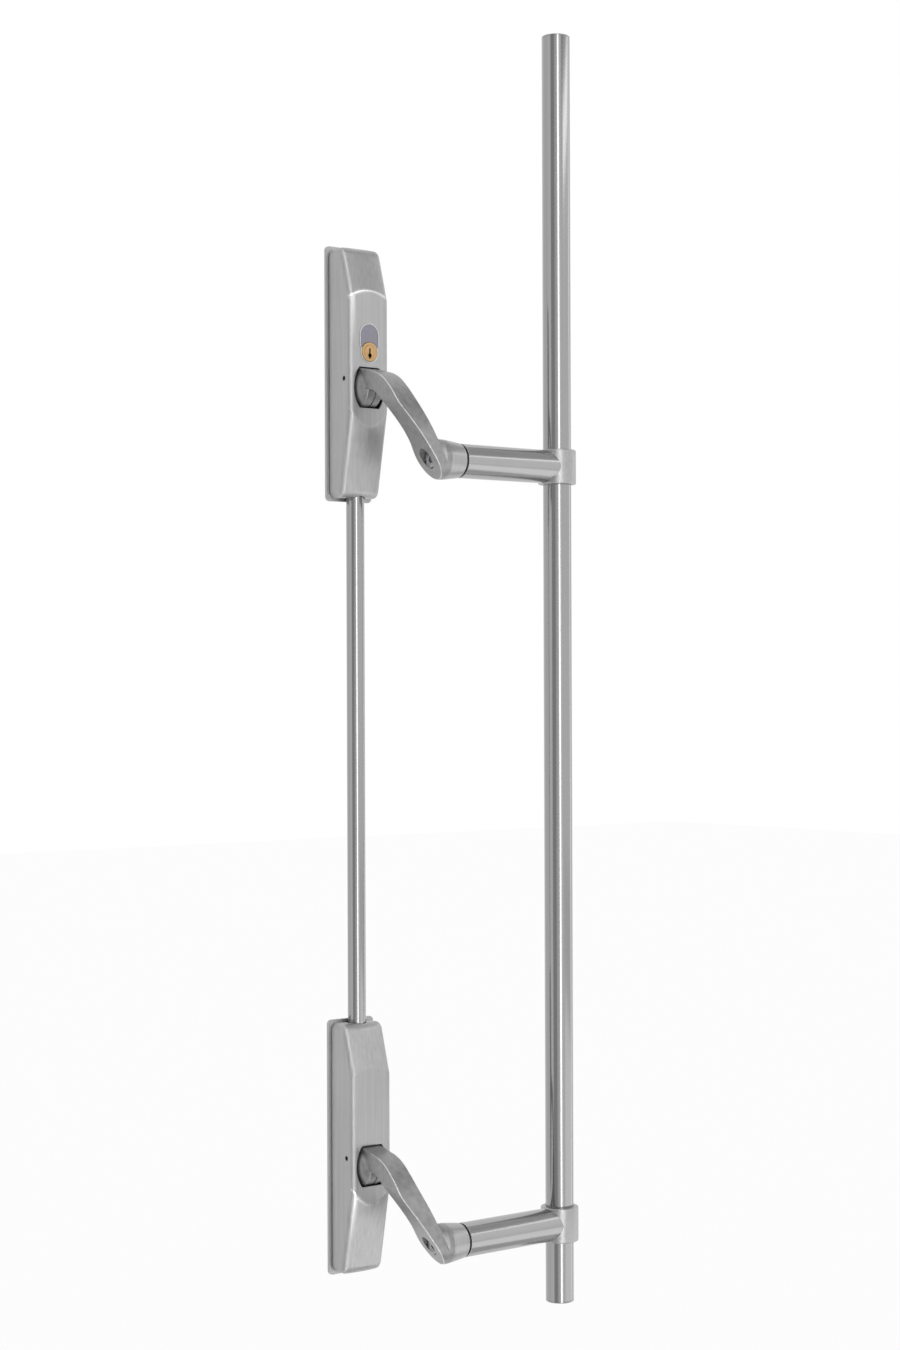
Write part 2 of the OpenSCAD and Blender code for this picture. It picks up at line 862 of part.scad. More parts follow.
// Return spring: one unbroken helix with half a turn flat at each end
function spring_point(t) =
    let (rise = spring_z1 - spring_z0 - wire_d, u = t / coil_turns)
    [coil_d / 2 * cos(360 * t), coil_d / 2 * sin(360 * t), spring_z0 + wire_d / 2 + rise * u];

module return_spring() {
    sides = 6;
    rings = 8 * coil_turns;
    pitch_angle = atan((spring_z1 - spring_z0 - wire_d) / coil_turns / (PI * coil_d));
    points = [for (i = [0:rings], j = [0:sides - 1])
        let (t = i / 8, a = 360 * j / sides, c = spring_point(t),
            out = [cos(360 * t), sin(360 * t), 0],
            up = [sin(360 * t) * sin(pitch_angle), -cos(360 * t) * sin(pitch_angle), cos(pitch_angle)])
        c + wire_d / 2 * (cos(a) * out + sin(a) * up)];
    walls = [for (i = [0:rings - 1], j = [0:sides - 1], k = [0, 1])
        let (a = i * sides + j, b = i * sides + (j + 1) % sides)
        k == 0 ? [a, a + sides, b] : [b, a + sides, b + sides]];
    start = [for (j = [1:sides - 2]) [0, j, j + 1]];
    finish = [for (j = [1:sides - 2]) [rings * sides, rings * sides + j + 1, rings * sides + j]];
    echo(least_coil_gap = (spring_z1 - spring_z0 - wire_d) / coil_turns - wire_d);
    color("silver")
        translate([0, -blade_mid, 0])
            polyhedron(points, concat(walls, start, finish));
}

module spring_bracket() {
    color(zinc)
        difference() {
            box([-cheek_x, -blade_mid - bracket_lip, spring_z1],
                [cheek_x, -web_out, spring_z1 + bracket_t]);
            translate([0, -blade_mid, spring_z1 - 1])
                cylinder(d = spring_pin_d, h = bracket_t + 2, $fn = 48);
        }
}

module spring_pin() {
    color(bright)
        translate([0, -blade_mid, spring_z1 - spring_pin_l])
            cylinder(d = spring_pin_d, h = spring_pin_l + bracket_t, $fn = 48);
}

module hub_bush() {
    color(brass)
        difference() {
            x_cylinder(hub_bush_d, recess_floor, hub_face, bar_out, -hub_drop);
            x_cylinder(shoulder_d + 2 * run_fit, 0, big, bar_out, -hub_drop);
        }
}

module hub_washer() {
    color(zinc)
        difference() {
            x_cylinder(recess_d - 2 * washer_gap, head_x, head_x + washer_t, bar_out, -hub_drop);
            x_cylinder(shoulder_d, 0, big, bar_out, -hub_drop);
        }
}

module hub_screw() {
    color(bright)
        difference() {
            union() {
                x_cylinder(head_d, head_x - head_h, head_x, bar_out, -hub_drop);
                x_cylinder(shoulder_d, head_x, collar_start, bar_out, -hub_drop);
                x_cylinder(thread_d, collar_start - eps, collar_end - thread_gap - 1, bar_out, -hub_drop);
            }
            translate([head_x - head_h - eps, -bar_out, -hub_drop])
                rotate([0, 90, 0])
                    cylinder(d = head_socket_d, h = head_socket_l + eps, $fn = 6);
        }
}

// Collar that turns against the hub, with a spigot in the standoff tube
module standoff_end() {
    color(cast_metal)
        difference() {
            union() {
                translate([collar_start, -bar_out, -hub_drop])
                    rotate([0, 90, 0])
                        cylinder(r1 = hub_r, r2 = tube_d / 2 + collar_step, h = collar_l, $fn = 96);
                x_cylinder(tube_d - 2 * tube_wall, collar_end - eps, collar_end + spigot_l, bar_out,
                    -hub_drop);
            }
            x_cylinder(thread_d, collar_start - eps, collar_end - thread_gap, bar_out, -hub_drop);
        }
}

module standoff_tube() {
    color(bright)
        difference() {
            x_cylinder(tube_d, tube_start, bar_x, bar_out, -hub_drop);
            x_cylinder(tube_d - 2 * tube_wall, tube_start - 1, bar_x + 1, bar_out, -hub_drop);
            translate([bar_x, -bar_out, -hub_drop - ring_h])
                cylinder(d = ring_d, h = 2 * ring_h, $fn = 96);
        }
}

module bar_ring() {
    color(metal)
        translate([bar_x, -bar_out, -hub_drop])
            difference() {
                union() {
                    translate([0, 0, -ring_h / 2 + edge])
                        cylinder(d = ring_d, h = ring_h - 2 * edge, $fn = 96);
                    translate([0, 0, -ring_h / 2])
                        cylinder(d1 = ring_d - 2 * edge, d2 = ring_d, h = edge, $fn = 96);
                    translate([0, 0, ring_h / 2 - edge])
                        cylinder(d1 = ring_d, d2 = ring_d - 2 * edge, h = edge, $fn = 96);
                }
                translate([0, 0, -ring_h])
                    cylinder(d = ring_bore, h = 2 * ring_h, $fn = 96);
                for (sz = [-1, 1])
                    translate([0, 0, sz * ring_h / 4])
                        rotate([-90, 0, 0])
                            cylinder(d = grub_d, h = ring_d, $fn = 48);
            }
}

module ring_screws() {
    color("dimgray")
        for (sz = [-1, 1])
            translate([bar_x, -bar_out, -hub_drop + sz * ring_h / 4])
                rotate([-90, 0, 0])
                    difference() {
                        translate([0, 0, bar_d / 2])
                            cylinder(d = grub_d, h = grub_l, $fn = 48);
                        translate([0, 0, bar_d / 2 + grub_l - socket_l])
                            cylinder(d = grub_d * socket_share, h = socket_l + eps, $fn = 6);
                    }
}

module push_bar() {
    color(bright)
        translate([bar_x, -bar_out, bar_z0 + cap_t])
            difference() {
                cylinder(d = bar_d, h = bar_above - bar_z0 - 2 * cap_t, $fn = 96);
                translate([0, 0, -1])
                    cylinder(d = bar_d - 2 * bar_wall, h = bar_above - bar_z0 + 2, $fn = 96);
            }
}

module bar_cap() {
    color(bright)
        union() {
            cylinder(d = bar_d, h = cap_t / 2, $fn = 96);
            translate([0, 0, cap_t / 2])
                cylinder(d1 = bar_d, d2 = bar_d - 2 * cap_bevel, h = cap_t / 2, $fn = 96);
            translate([0, 0, -cap_plug])
                cylinder(d = bar_d - 2 * bar_wall, h = cap_plug, $fn = 96);
        }
}

module bar_top_cap() {
    translate([bar_x, -bar_out, bar_above - cap_t])
        bar_cap();
}

module bar_bottom_cap() {
    translate([bar_x, -bar_out, bar_z0 + cap_t])
        mirror([0, 0, 1])
            bar_cap();
}

// Moves a lower piece from the upper pivot's height to its own
module lower() {
    translate([0, 0, lower_z])
        children();
}

base_plate(chassis_above, true);  // upper_base_plate
cover(-1, true);  // upper_cover
cover_screws();  // upper_cover_screws
chassis(chassis_above);  // upper_chassis
chassis_screws(chassis_above);  // upper_chassis_screws
guides();  // upper_guides
lever();  // upper_lever
lever_bushes();  // upper_lever_bushes
pivot_pin();  // upper_pivot_pin
pivot_clips();  // upper_pivot_clips
crank_pin();  // upper_crank_pin
slide(1, true);  // upper_slide
slide_pin(1);  // upper_slide_pin
lower() base_plate(chassis_below, false);  // lower_base_plate
lower() cover(1, false);  // lower_cover
lower() cover_screws();  // lower_cover_screws
lower() chassis(chassis_below);  // lower_chassis
lower() chassis_screws(chassis_below);  // lower_chassis_screws
lower() guides();  // lower_guides
lower() lever();  // lower_lever
lower() lever_bushes();  // lower_lever_bushes
lower() pivot_pin();  // lower_pivot_pin
lower() pivot_clips();  // lower_pivot_clips
lower() crank_pin();  // lower_crank_pin
lower() slide(-1, false);  // lower_slide
lower() slide_pin(-1);  // lower_slide_pin
connecting_rod();
key_cylinder();
cylinder_nut();
key_plug();
cylinder_cam();
indicator_plate();
indicator_rim();
return_spring();
spring_bracket();
spring_pin();
hub_bush();  // upper_hub_bush
hub_screw();  // upper_hub_screw
hub_washer();  // upper_hub_washer
standoff_end();  // upper_standoff_end
standoff_tube();  // upper_standoff_tube
bar_ring();  // upper_bar_ring
ring_screws();  // upper_ring_screws
lower() hub_bush();  // lower_hub_bush
lower() hub_screw();  // lower_hub_screw
lower() hub_washer();  // lower_hub_washer
lower() standoff_end();  // lower_standoff_end
lower() standoff_tube();  // lower_standoff_tube
lower() bar_ring();  // lower_bar_ring
lower() ring_screws();  // lower_ring_screws
push_bar();
bar_top_cap();
bar_bottom_cap();
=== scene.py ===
# %% [markdown]
# # A standing push bar in satin steel
# The object is a tall door handle. Two flat cases sit on the door, a cranked lever swings out of each, and
# an upright bar hangs between the levers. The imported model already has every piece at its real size, so
# this lesson is about surfaces: soft edges, brushed and blasted steel, and the light that shows them. All
# shaping is done in millimetres and each finished mesh is brought to metres once.

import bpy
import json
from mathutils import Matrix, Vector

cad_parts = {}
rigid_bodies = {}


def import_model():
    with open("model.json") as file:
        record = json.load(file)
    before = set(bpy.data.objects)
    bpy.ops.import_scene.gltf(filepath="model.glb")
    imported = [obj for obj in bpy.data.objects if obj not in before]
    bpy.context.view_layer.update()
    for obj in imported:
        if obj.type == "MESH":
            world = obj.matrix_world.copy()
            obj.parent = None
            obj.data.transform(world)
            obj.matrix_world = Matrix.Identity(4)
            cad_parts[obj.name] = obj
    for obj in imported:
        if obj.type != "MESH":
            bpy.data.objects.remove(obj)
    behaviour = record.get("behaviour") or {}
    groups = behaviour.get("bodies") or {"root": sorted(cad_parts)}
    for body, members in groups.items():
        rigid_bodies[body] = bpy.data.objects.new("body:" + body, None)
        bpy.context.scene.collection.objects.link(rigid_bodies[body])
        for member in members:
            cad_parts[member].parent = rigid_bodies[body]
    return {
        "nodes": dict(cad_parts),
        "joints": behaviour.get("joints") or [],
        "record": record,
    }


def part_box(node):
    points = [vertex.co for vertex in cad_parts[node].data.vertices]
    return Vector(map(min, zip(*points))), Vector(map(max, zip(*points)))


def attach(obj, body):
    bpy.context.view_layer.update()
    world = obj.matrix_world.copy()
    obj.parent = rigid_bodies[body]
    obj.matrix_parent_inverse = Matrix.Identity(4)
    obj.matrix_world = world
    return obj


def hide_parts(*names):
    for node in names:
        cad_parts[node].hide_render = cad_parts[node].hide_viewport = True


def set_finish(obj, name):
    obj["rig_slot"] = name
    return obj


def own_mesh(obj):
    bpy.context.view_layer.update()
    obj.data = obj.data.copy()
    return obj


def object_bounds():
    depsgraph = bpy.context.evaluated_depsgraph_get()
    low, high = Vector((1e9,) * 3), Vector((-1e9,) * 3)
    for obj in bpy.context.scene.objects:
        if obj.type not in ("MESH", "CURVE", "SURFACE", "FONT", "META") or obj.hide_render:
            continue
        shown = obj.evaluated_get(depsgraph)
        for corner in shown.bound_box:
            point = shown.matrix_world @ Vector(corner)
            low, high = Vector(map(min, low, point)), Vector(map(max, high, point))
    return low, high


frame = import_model()
cad_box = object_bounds()

# %% Tools of the lesson
import json
import math

import bmesh
import bpy
from mathutils import Matrix, Vector

MM = 0.001
X, Y, Z = Vector((1, 0, 0)), Vector((0, 1, 0)), Vector((0, 0, 1))

# %% [markdown]
# The model gives the places that everything hangs on: the two lever pivots and the hub between a lever and
# the bar. Heights on the lower case are the upper ones moved down by one step, so each piece is written
# once.

# %% Places taken from the model
places = {joint["name"]: Vector(joint["pos_m"]) / MM for joint in frame["joints"] if "pos_m" in joint}
PIVOT = places["upper_lever_turn"]
STEP = places["lower_lever_turn"] - PIVOT
BAR = sum(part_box("push_bar"), Vector()) / 2 / MM
HUB = Vector((0, BAR.y, places["bar_swing"].z))
CASES = (("upper", Vector()), ("lower", STEP))
print("pivot", PIVOT, "step", STEP, "hub", HUB)

# %% [markdown]
# ## The camera
# The photograph was taken from the left, at the height of the middle of the bar, through a longish lens.
# The same view makes every comparison with it fair. The picture is taller than wide, so the lens counts
# along its height.

# %% Camera
SENSOR = 36.0
FOCAL_PIXELS = 2467.6
PICTURE_HEIGHT = 1350
HORIZON = 688.96
CAMERA_PLACE = Vector((-1.2702, -1.7784, -0.2635))
CAMERA_TURN = math.radians(37.9)
CAMERA_ROLL = math.radians(-0.193)

camera_data = bpy.data.cameras.new("camera")
camera_data.sensor_fit = "VERTICAL"
camera_data.sensor_height = SENSOR
camera_data.lens = SENSOR * FOCAL_PIXELS / PICTURE_HEIGHT
camera_data.shift_y = (HORIZON - PICTURE_HEIGHT / 2) / PICTURE_HEIGHT
camera = bpy.data.objects.new("camera", camera_data)
camera.matrix_world = (Matrix.Translation(CAMERA_PLACE) @ Matrix.Rotation(-CAMERA_TURN, 4, "Z")
                       @ Matrix.Rotation(math.radians(90), 4, "X") @ Matrix.Rotation(CAMERA_ROLL, 4, "Z"))
bpy.context.scene.collection.objects.link(camera)
bpy.context.scene.camera = camera
bpy.context.scene.view_settings.view_transform = "Standard"
print("lens", round(camera_data.lens, 1), "mm")

# %% [markdown]
# ## Shaping helpers
# Turned parts are an outline spun about an axis. Their corners come off the lathe with a small round, which
# a bevel gives after the spin. Marking every edge sharper than a set angle keeps flats flat and lets the
# rest shade smoothly.

# %% Edges and copies
EDGE_STEPS = 3
SMOOTH_ANGLE = math.radians(34)
WELD = 0.002
FLAT = math.radians(0.6)


def bevel_sharp(bm, width):
    """Rounds every edge that is too sharp to be shaded smoothly."""
    edges = [e for e in bm.edges if len(e.link_faces) == 2 and e.calc_face_angle(0) > SMOOTH_ANGLE]
    if edges:
        bmesh.ops.bevel(bm, geom=edges, offset=width, offset_type="OFFSET", segments=EDGE_STEPS,
                        profile=0.5, affect="EDGES", clamp_overlap=True, material=-1)
    return bm


def merged_copy(node, width=0.0):
    """The model's own piece, welded, its flat faces joined and its edges rounded."""
    bm = bmesh.new()
    bm.from_mesh(frame["nodes"][node].data)
    bmesh.ops.scale(bm, vec=Vector((1, 1, 1)) / MM, verts=bm.verts)
    bmesh.ops.remove_doubles(bm, verts=bm.verts, dist=WELD)
    bmesh.ops.dissolve_limit(bm, angle_limit=FLAT, verts=bm.verts, edges=bm.edges)
    return bevel_sharp(bm, width) if width else bm


# %% Turned parts
TURN_STEPS = 96


def turned(outline, axis, centre, width=0.0, steps=TURN_STEPS):
    """An outline of (along the axis, radius) pairs spun about the axis, closed unless it starts on it."""
    side = Z if axis is not Z else X
    bm = bmesh.new()
    line = [bm.verts.new(centre + axis * a + side * r) for a, r in outline]
    edges = [bm.edges.new(pair) for pair in zip(line, line[1:])]
    if outline[0][1] > 0:
        edges.append(bm.edges.new((line[-1], line[0])))
    bmesh.ops.spin(bm, geom=line + edges, cent=centre, axis=axis, angle=math.tau, steps=steps, use_merge=True)
    bmesh.ops.remove_doubles(bm, verts=bm.verts, dist=WELD)
    if outline[0][1] == 0:
        bmesh.ops.dissolve_limit(bm, angle_limit=FLAT, verts=bm.verts, edges=bm.edges)
    bmesh.ops.recalc_face_normals(bm, faces=bm.faces)
    return bevel_sharp(bm, width) if width else bm


# %% [markdown]
# A finished bmesh becomes a piece: a mesh in metres that rides on a body of the model, takes its finish
# from a slot, and hides the plain solid that it stands for. Its object stays at the origin, so its place is
# in its mesh.

# %% Pieces
def mesh_from(bm, name, scale=1.0):
    """A mesh of a bmesh, with its sharp edges marked. The bmesh is used up."""
    bmesh.ops.scale(bm, vec=Vector((1, 1, 1)) * scale, verts=bm.verts)
    for edge in bm.edges:
        edge.smooth = len(edge.link_faces) == 2 and edge.calc_face_angle(0) < SMOOTH_ANGLE
    for face in bm.faces:
        face.smooth = True
    mesh = bpy.data.meshes.new(name)
    bm.to_mesh(mesh)
    bm.free()
    return mesh


def piece(name, bm, body, slot, *nodes):
    """Puts a finished mesh in the scene, riding on a body and standing for the model's nodes."""
    obj = bpy.data.objects.new(name, mesh_from(bm, name, MM))
    bpy.context.scene.collection.objects.link(obj)
    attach(obj, body)
    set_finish(obj, slot)
    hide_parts(*nodes)
    print(name, len(obj.data.polygons), "faces")
    return obj


# %% [markdown]
# Holes and slots are cut with the Boolean modifier on objects that are deleted again. The exact solver
# copes with faces that touch, which is common where one round part meets another.

# %% Cutting
PLANE_TOUCH = 1e-4


def loose(name, bm):
    """A mesh for cutting or remeshing, which is deleted again."""
    obj = bpy.data.objects.new(name, mesh_from(bm, name))
    bpy.context.scene.collection.objects.link(obj)
    return obj


def applied(obj):
    """The object's mesh with its modifiers worked in, as a bmesh; the object goes."""
    bpy.context.view_layer.update()
    bm = bmesh.new()
    bm.from_mesh(obj.evaluated_get(bpy.context.evaluated_depsgraph_get()).to_mesh())
    bpy.data.objects.remove(obj)
    return bm


def minus(bm, *cutters):
    """Takes each cutter mesh away from a closed mesh."""
    for cutter in cutters:
        target, tool = loose("target", bm), loose("tool", cutter)
        modifier = target.modifiers.new("cut", "BOOLEAN")
        modifier.operation = "DIFFERENCE"
        modifier.solver = "EXACT"
        modifier.object = tool
        bm = applied(target)
        bpy.data.objects.remove(tool)
    return bm


def moved(bm, step):
    bmesh.ops.translate(bm, vec=step, verts=bm.verts)
    return bm


def block(low, high):
    """A box between two corners."""
    bm = bmesh.new()
    bmesh.ops.create_cube(bm, size=1)
    bmesh.ops.scale(bm, vec=high - low, verts=bm.verts)
    return moved(bm, (high + low) / 2)


def halves(bm, place, axis, **options):
    """Cuts all of a bmesh along a plane."""
    everything = bm.verts[:] + bm.edges[:] + bm.faces[:]
    bmesh.ops.bisect_plane(bm, geom=everything, dist=PLANE_TOUCH, plane_co=place, plane_no=axis, **options)


def closed(bm):
    """Fills the open ends and turns the faces outwards."""
    bmesh.ops.holes_fill(bm, edges=[e for e in bm.edges if e.is_boundary])
    bmesh.ops.recalc_face_normals(bm, faces=bm.faces)
    return bm


# %% [markdown]
# ## The covers
# Each case has a pressed cover: a box with soft edges, a flat front, and a slope to each end. The slopes
# are slightly round across, so the ridge where a slope meets the flat front is an arch on the upper part
# and a hollow U on the lower part. A finely divided box is rounded by pushing its points onto ellipsoids at
# the corners, and then pressed down wherever a slope runs below the flat front. A soft minimum of the two
# heights gives the ridge its small radius.

# %% Sizes of a cover
PLATE = 2.5
COVER_OUT = 33.5
COVER_WALL = 1.8
EDGE_ACROSS, EDGE_OUT, EDGE_ALONG = 5.0, 4.6, 6.5
# Each slope: up or down, height of its ridge from the pivot, its angle, and the radius that it is round
# across.
SLOPES = ((1, 85.0, math.radians(16), 115.0), (-1, 34.0, math.radians(11), 72.0))
RIDGE_SOFTNESS = 0.14

cover_low, cover_high = (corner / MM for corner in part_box("upper_cover"))
print("cover", cover_high.x * 2, "mm wide, from", cover_low.z, "to", cover_high.z)


def front_height(x, z):
    """Distance of the cover's front from the door at a place on it."""
    height = COVER_OUT
    for sign, ridge, slope, crown in SLOPES:
        slanted = COVER_OUT - (sign * z - ridge) * math.tan(slope) - x * x / 2 / crown
        height = (height + slanted - math.hypot(height - slanted, RIDGE_SOFTNESS)) / 2
    return height


# %% Where the skin is divided
FINE, COARSE = 0.5, 2.4
RIDGE_SPANS = ((-36, -16), (76, 88))
SKIRT = 2.5


def cut_places(low, high, fine_spans):
    """Places of the cuts along one axis: close together in the fine spans, wide apart elsewhere."""
    found, at = [], low
    while at < high - FINE * 1.5:
        at += FINE if any(a <= at < b for a, b in fine_spans) else COARSE
        found.append(at)
    return [place for place in found if place < high - FINE / 2]


# %% The cover's skin
def cover_point(p):
    """Moves a point of the box onto the cover's rounded and sloped form."""
    edge = Vector((EDGE_ACROSS, EDGE_OUT, EDGE_ALONG))
    inner = Vector((max(cover_low.x + edge.x, min(cover_high.x - edge.x, p.x)),
                    max(-COVER_OUT + edge.y, p.y),
                    max(cover_low.z + edge.z, min(cover_high.z - edge.z, p.z))))
    share = Vector([(a - b) / size for a, b, size in zip(p, inner, edge)])
    if share.length > 0:
        share *= max(abs(s) for s in share) / share.length
    p = inner + share * edge
    drop = COVER_OUT - front_height(p.x, p.z)
    p.y += drop * min(1, (-p.y - PLATE) / (COVER_OUT - EDGE_OUT - PLATE))
    return p


def cover_skin():
    """A finely divided box, pushed onto the cover's form and open towards the door."""
    low = Vector((cover_low.x, -COVER_OUT, cover_low.z))
    high = Vector((cover_high.x, -PLATE, cover_high.z))
    bm = block(low, high)
    fine_x = ((low.x, low.x + EDGE_ACROSS), (high.x - EDGE_ACROSS, high.x))
    fine_y = ((low.y, low.y + EDGE_OUT), (high.y - SKIRT, high.y))
    fine_z = ((low.z, low.z + EDGE_ALONG), *RIDGE_SPANS, (high.z - EDGE_ALONG, high.z))
    for axis, fine in ((X, fine_x), (Z, fine_z), (Y, fine_y)):
        for spot in cut_places(low.dot(axis), high.dot(axis), fine):
            halves(bm, axis * spot, axis)
    for vert in bm.verts:
        vert.co = cover_point(vert.co)
    back = [f for f in bm.faces if all(v.co.y > -PLATE - 1e-3 for v in f.verts)]
    bmesh.ops.delete(bm, geom=back, context="FACES")
    bmesh.ops.recalc_face_normals(bm, faces=bm.faces)
    return bm


# %% [markdown]
# The skin gets its wall from a Solidify modifier, which grows it inwards. The lever's opening, the screw
# holes and the notch for the rod are cut through the wall. A pressed edge is never knife sharp, so the
# cutters flare out at the front, and what they leave behind is a rounded lip.

# %% The rounded lip
LIP = 0.5
CUT_DEPTH = 8.0
CUT_ABOVE = 2.0
CUT_FLARE = LIP + 0.5


def lip_steps(steps=4):
    """Pairs of depth below the surface and growth of the hole, round the lip."""
    for i in range(steps + 1):
        angle = math.pi / 2 * i / steps
        yield LIP * (1 - math.sin(angle)), LIP * (1 - math.cos(angle))


# %% The lever's opening
OPENING_HALF = 17.7
OPENING_HALF_WIDTH = 16.2
OPENING_SIDE_R = 30.0


def opening_ring(bm, out, grow, steps=30):
    """The opening's outline as a ring of edges at a distance from the door."""
    half, radius = OPENING_HALF + grow, OPENING_SIDE_R + grow
    centre = OPENING_SIDE_R - OPENING_HALF_WIDTH
    heights = [half * (2 * i / steps - 1) for i in range(steps + 1)]
    left = [(centre - math.sqrt(radius ** 2 - z ** 2), z) for z in heights]
    right = [(-x, z) for x, z in reversed(left)]
    ring = [bm.verts.new((x, -out, z)) for x, z in left + right]
    return [bm.edges.new((ring[i - 1], ring[i])) for i in range(len(ring))]


def opening_cutter():
    """A solid with the opening's outline, flared where it leaves the cover's front."""
    bm = bmesh.new()
    rings = [opening_ring(bm, COVER_OUT - CUT_DEPTH, 0)]
    rings += [opening_ring(bm, COVER_OUT - depth, grow) for depth, grow in lip_steps()]
    rings.append(opening_ring(bm, COVER_OUT + CUT_ABOVE, CUT_FLARE))
    for below, above in zip(rings, rings[1:]):
        bmesh.ops.bridge_loops(bm, edges=below + above)
    return closed(bm)


# %% Round holes and the rod's notch
ROD_OUT, ROD_R = 11.6, 8.0
NOTCH_GAP, NOTCH_REACH = 0.7, 6.0
SCREW_OUT, SCREW_UP, SCREW_HOLE_R = 25.0, 7.6, 2.1
KEY_UP, KEY_HOLE_R = 31.3, 8.4
HOLE_STEPS, NOTCH_STEPS = 48, 64


def hole_cutter(axis, centre, radius, surface, depth=CUT_DEPTH):
    """A round cutter from inside a wall to beyond it, flared where it leaves the surface."""
    mouth = [(surface - lip, radius + grow) for lip, grow in lip_steps()]
    outline = [(surface - depth, 0), (surface - depth, radius), *mouth,
               (surface + CUT_ABOVE, radius + CUT_FLARE), (surface + CUT_ABOVE, 0)]
    return turned(outline, axis, centre, steps=HOLE_STEPS)


def rod_notch(end):
    """The rod's way through an end of a cover, open towards the door."""
    bm = bmesh.new()
    bmesh.ops.create_circle(bm, cap_ends=True, radius=ROD_R + NOTCH_GAP, segments=NOTCH_STEPS)
    moved(bm, (0, -ROD_OUT, end - NOTCH_REACH))
    for vert in bm.verts:
        if vert.co.y > -ROD_OUT:
            vert.co.y += ROD_OUT
    up = bmesh.ops.extrude_face_region(bm, geom=bm.faces[:])["geom"]
    up = [v for v in up if isinstance(v, bmesh.types.BMVert)]
    bmesh.ops.translate(bm, vec=Z * 2 * NOTCH_REACH, verts=up)
    bmesh.ops.recalc_face_normals(bm, faces=bm.faces)
    return bm


# %% [markdown]
# Next to the base plate the skin is drawn in a little, which leaves the dark line that parts cover and
# plate. It is done last, on the finished shell, because the wall and the cuts came out faulty on a skin that
# was drawn in beforehand.

# %% The skirt of a cover
TUCK_OUT, TUCK_IN = 1.3, 0.9
OUTSIDE = 0.1


def tuck_in(bm):
    """Draws the outer skin in next to the base plate."""
    bm.normal_update()
    middle = (cover_low.z + cover_high.z) / 2
    for vert in bm.verts:
        side = Vector((vert.normal.x, 0, vert.normal.z))
        share = 1 - (-vert.co.y - PLATE) / TUCK_OUT
        if share > 0 and side.dot(vert.co - Z * middle) > OUTSIDE:
            vert.co -= side.normalized() * TUCK_IN * share
    return bm


# %% The two covers
skin = loose("skin", cover_skin())
wall = skin.modifiers.new("wall", "SOLIDIFY")
wall.thickness = COVER_WALL
wall.offset = -1
wall.use_even_offset = True
shell = applied(skin)
screw_place = Vector((0, -SCREW_OUT, SCREW_UP))
screw_holes = [hole_cutter(side, screw_place, SCREW_HOLE_R, cover_high.x) for side in (-X, X)]
shell = minus(shell, opening_cutter(), *screw_holes)
key_hole = hole_cutter(-Y, Z * KEY_UP, KEY_HOLE_R, COVER_OUT)
upper_shell = tuck_in(minus(shell.copy(), key_hole, rod_notch(cover_low.z)))
upper = piece("upper_case_cover", upper_shell, "cases", "cover", "upper_cover")
lower_shell = moved(tuck_in(minus(shell, rod_notch(cover_high.z))), STEP)
lower = piece("lower_case_cover", lower_shell, "cases", "cover", "lower_cover")

# %% [markdown]
# Each cover gets a painted highlight where its ridges stand proud: a paler, smoother band that stands in for
# the reflection of a bright strip. How much is written on the points of the mesh, as an attribute that the
# material reads, because the ridges are too blunt for a mask that looks for sharp edges. The highlight is
# painted on the upper cover along its upper ridge and on the lower one along its lower ridge, and on both
# down the left edge.

# %% Painted highlights of the covers
RIDGE_SHINE, EDGE_SHINE = 1.2, 1.6
EDGE_PLACE, EDGE_LENGTH, EDGE_SHARE = 4.6, 42.0, 0.7
RIGHT_SHARE, FADE_FROM, FADE_LENGTH = 0.4, 2.0, 12.0
SHINE_DEPTH = 2.5


def bell(distance, width):
    """One at nought, falling softly to nothing on both sides."""
    return math.exp(-(distance / width) ** 2)


def write_painted_highlight(mesh, shine):
    mesh.attributes.new("polished", "FLOAT", "POINT").data.foreach_set("value", shine)


def highlight_paint(cover, shift, strengths, sides):
    """Writes the painted highlight: along the ridges, and along the left edge on one side of each ridge."""
    # Painted highlight: how much paler and smoother each point is made, along the ridges and the left edge.
    shine = []
    for vert in cover.data.vertices:
        p = vert.co / MM - shift
        best = 0
        for (sign, ridge, slope, crown), strength, side in zip(SLOPES, strengths, sides):
            beyond = sign * p.z - ridge + p.x * p.x / 2 / crown / math.tan(slope)
            left = max(0, min(1, (FADE_FROM - p.x) / FADE_LENGTH))
            on_ridge = (RIGHT_SHARE + (1 - RIGHT_SHARE) * left) * bell(beyond, RIDGE_SHINE)
            fade = max(0, 1 - abs(beyond) / EDGE_LENGTH) if beyond * side > 0 else 0
            on_edge = EDGE_SHARE * bell(p.x - cover_low.x - EDGE_PLACE, EDGE_SHINE) * fade
            best = max(best, strength * max(on_ridge, on_edge))
        shine.append(best if -p.y > front_height(p.x, p.z) - SHINE_DEPTH else 0)
    write_painted_highlight(cover.data, shine)
    print(cover.name, "points with polish", sum(value > 0.3 for value in shine))


# The upper cover's highlight is painted along its upper ridge, the lower cover's along its lower ridge.
highlight_paint(upper, Vector(), (1.0, 0.15), (-1, 1))
highlight_paint(lower, STEP, (0.0, 1.0), (-1, 1))

# %% [markdown]
# ## The levers
# A lever is one casting: a barrel inside the case, an arm with a bend, and a hub at the bar's end. A
# casting has no sharp edge anywhere, and its parts flow into each other. So the parts are modelled plainly,
# melted together with a voxel remesh and smoothed, which rounds every edge and fills the inner corners, and
# only the machined seats for the screw and the bushes are cut afterwards, sharp as a drill leaves them.

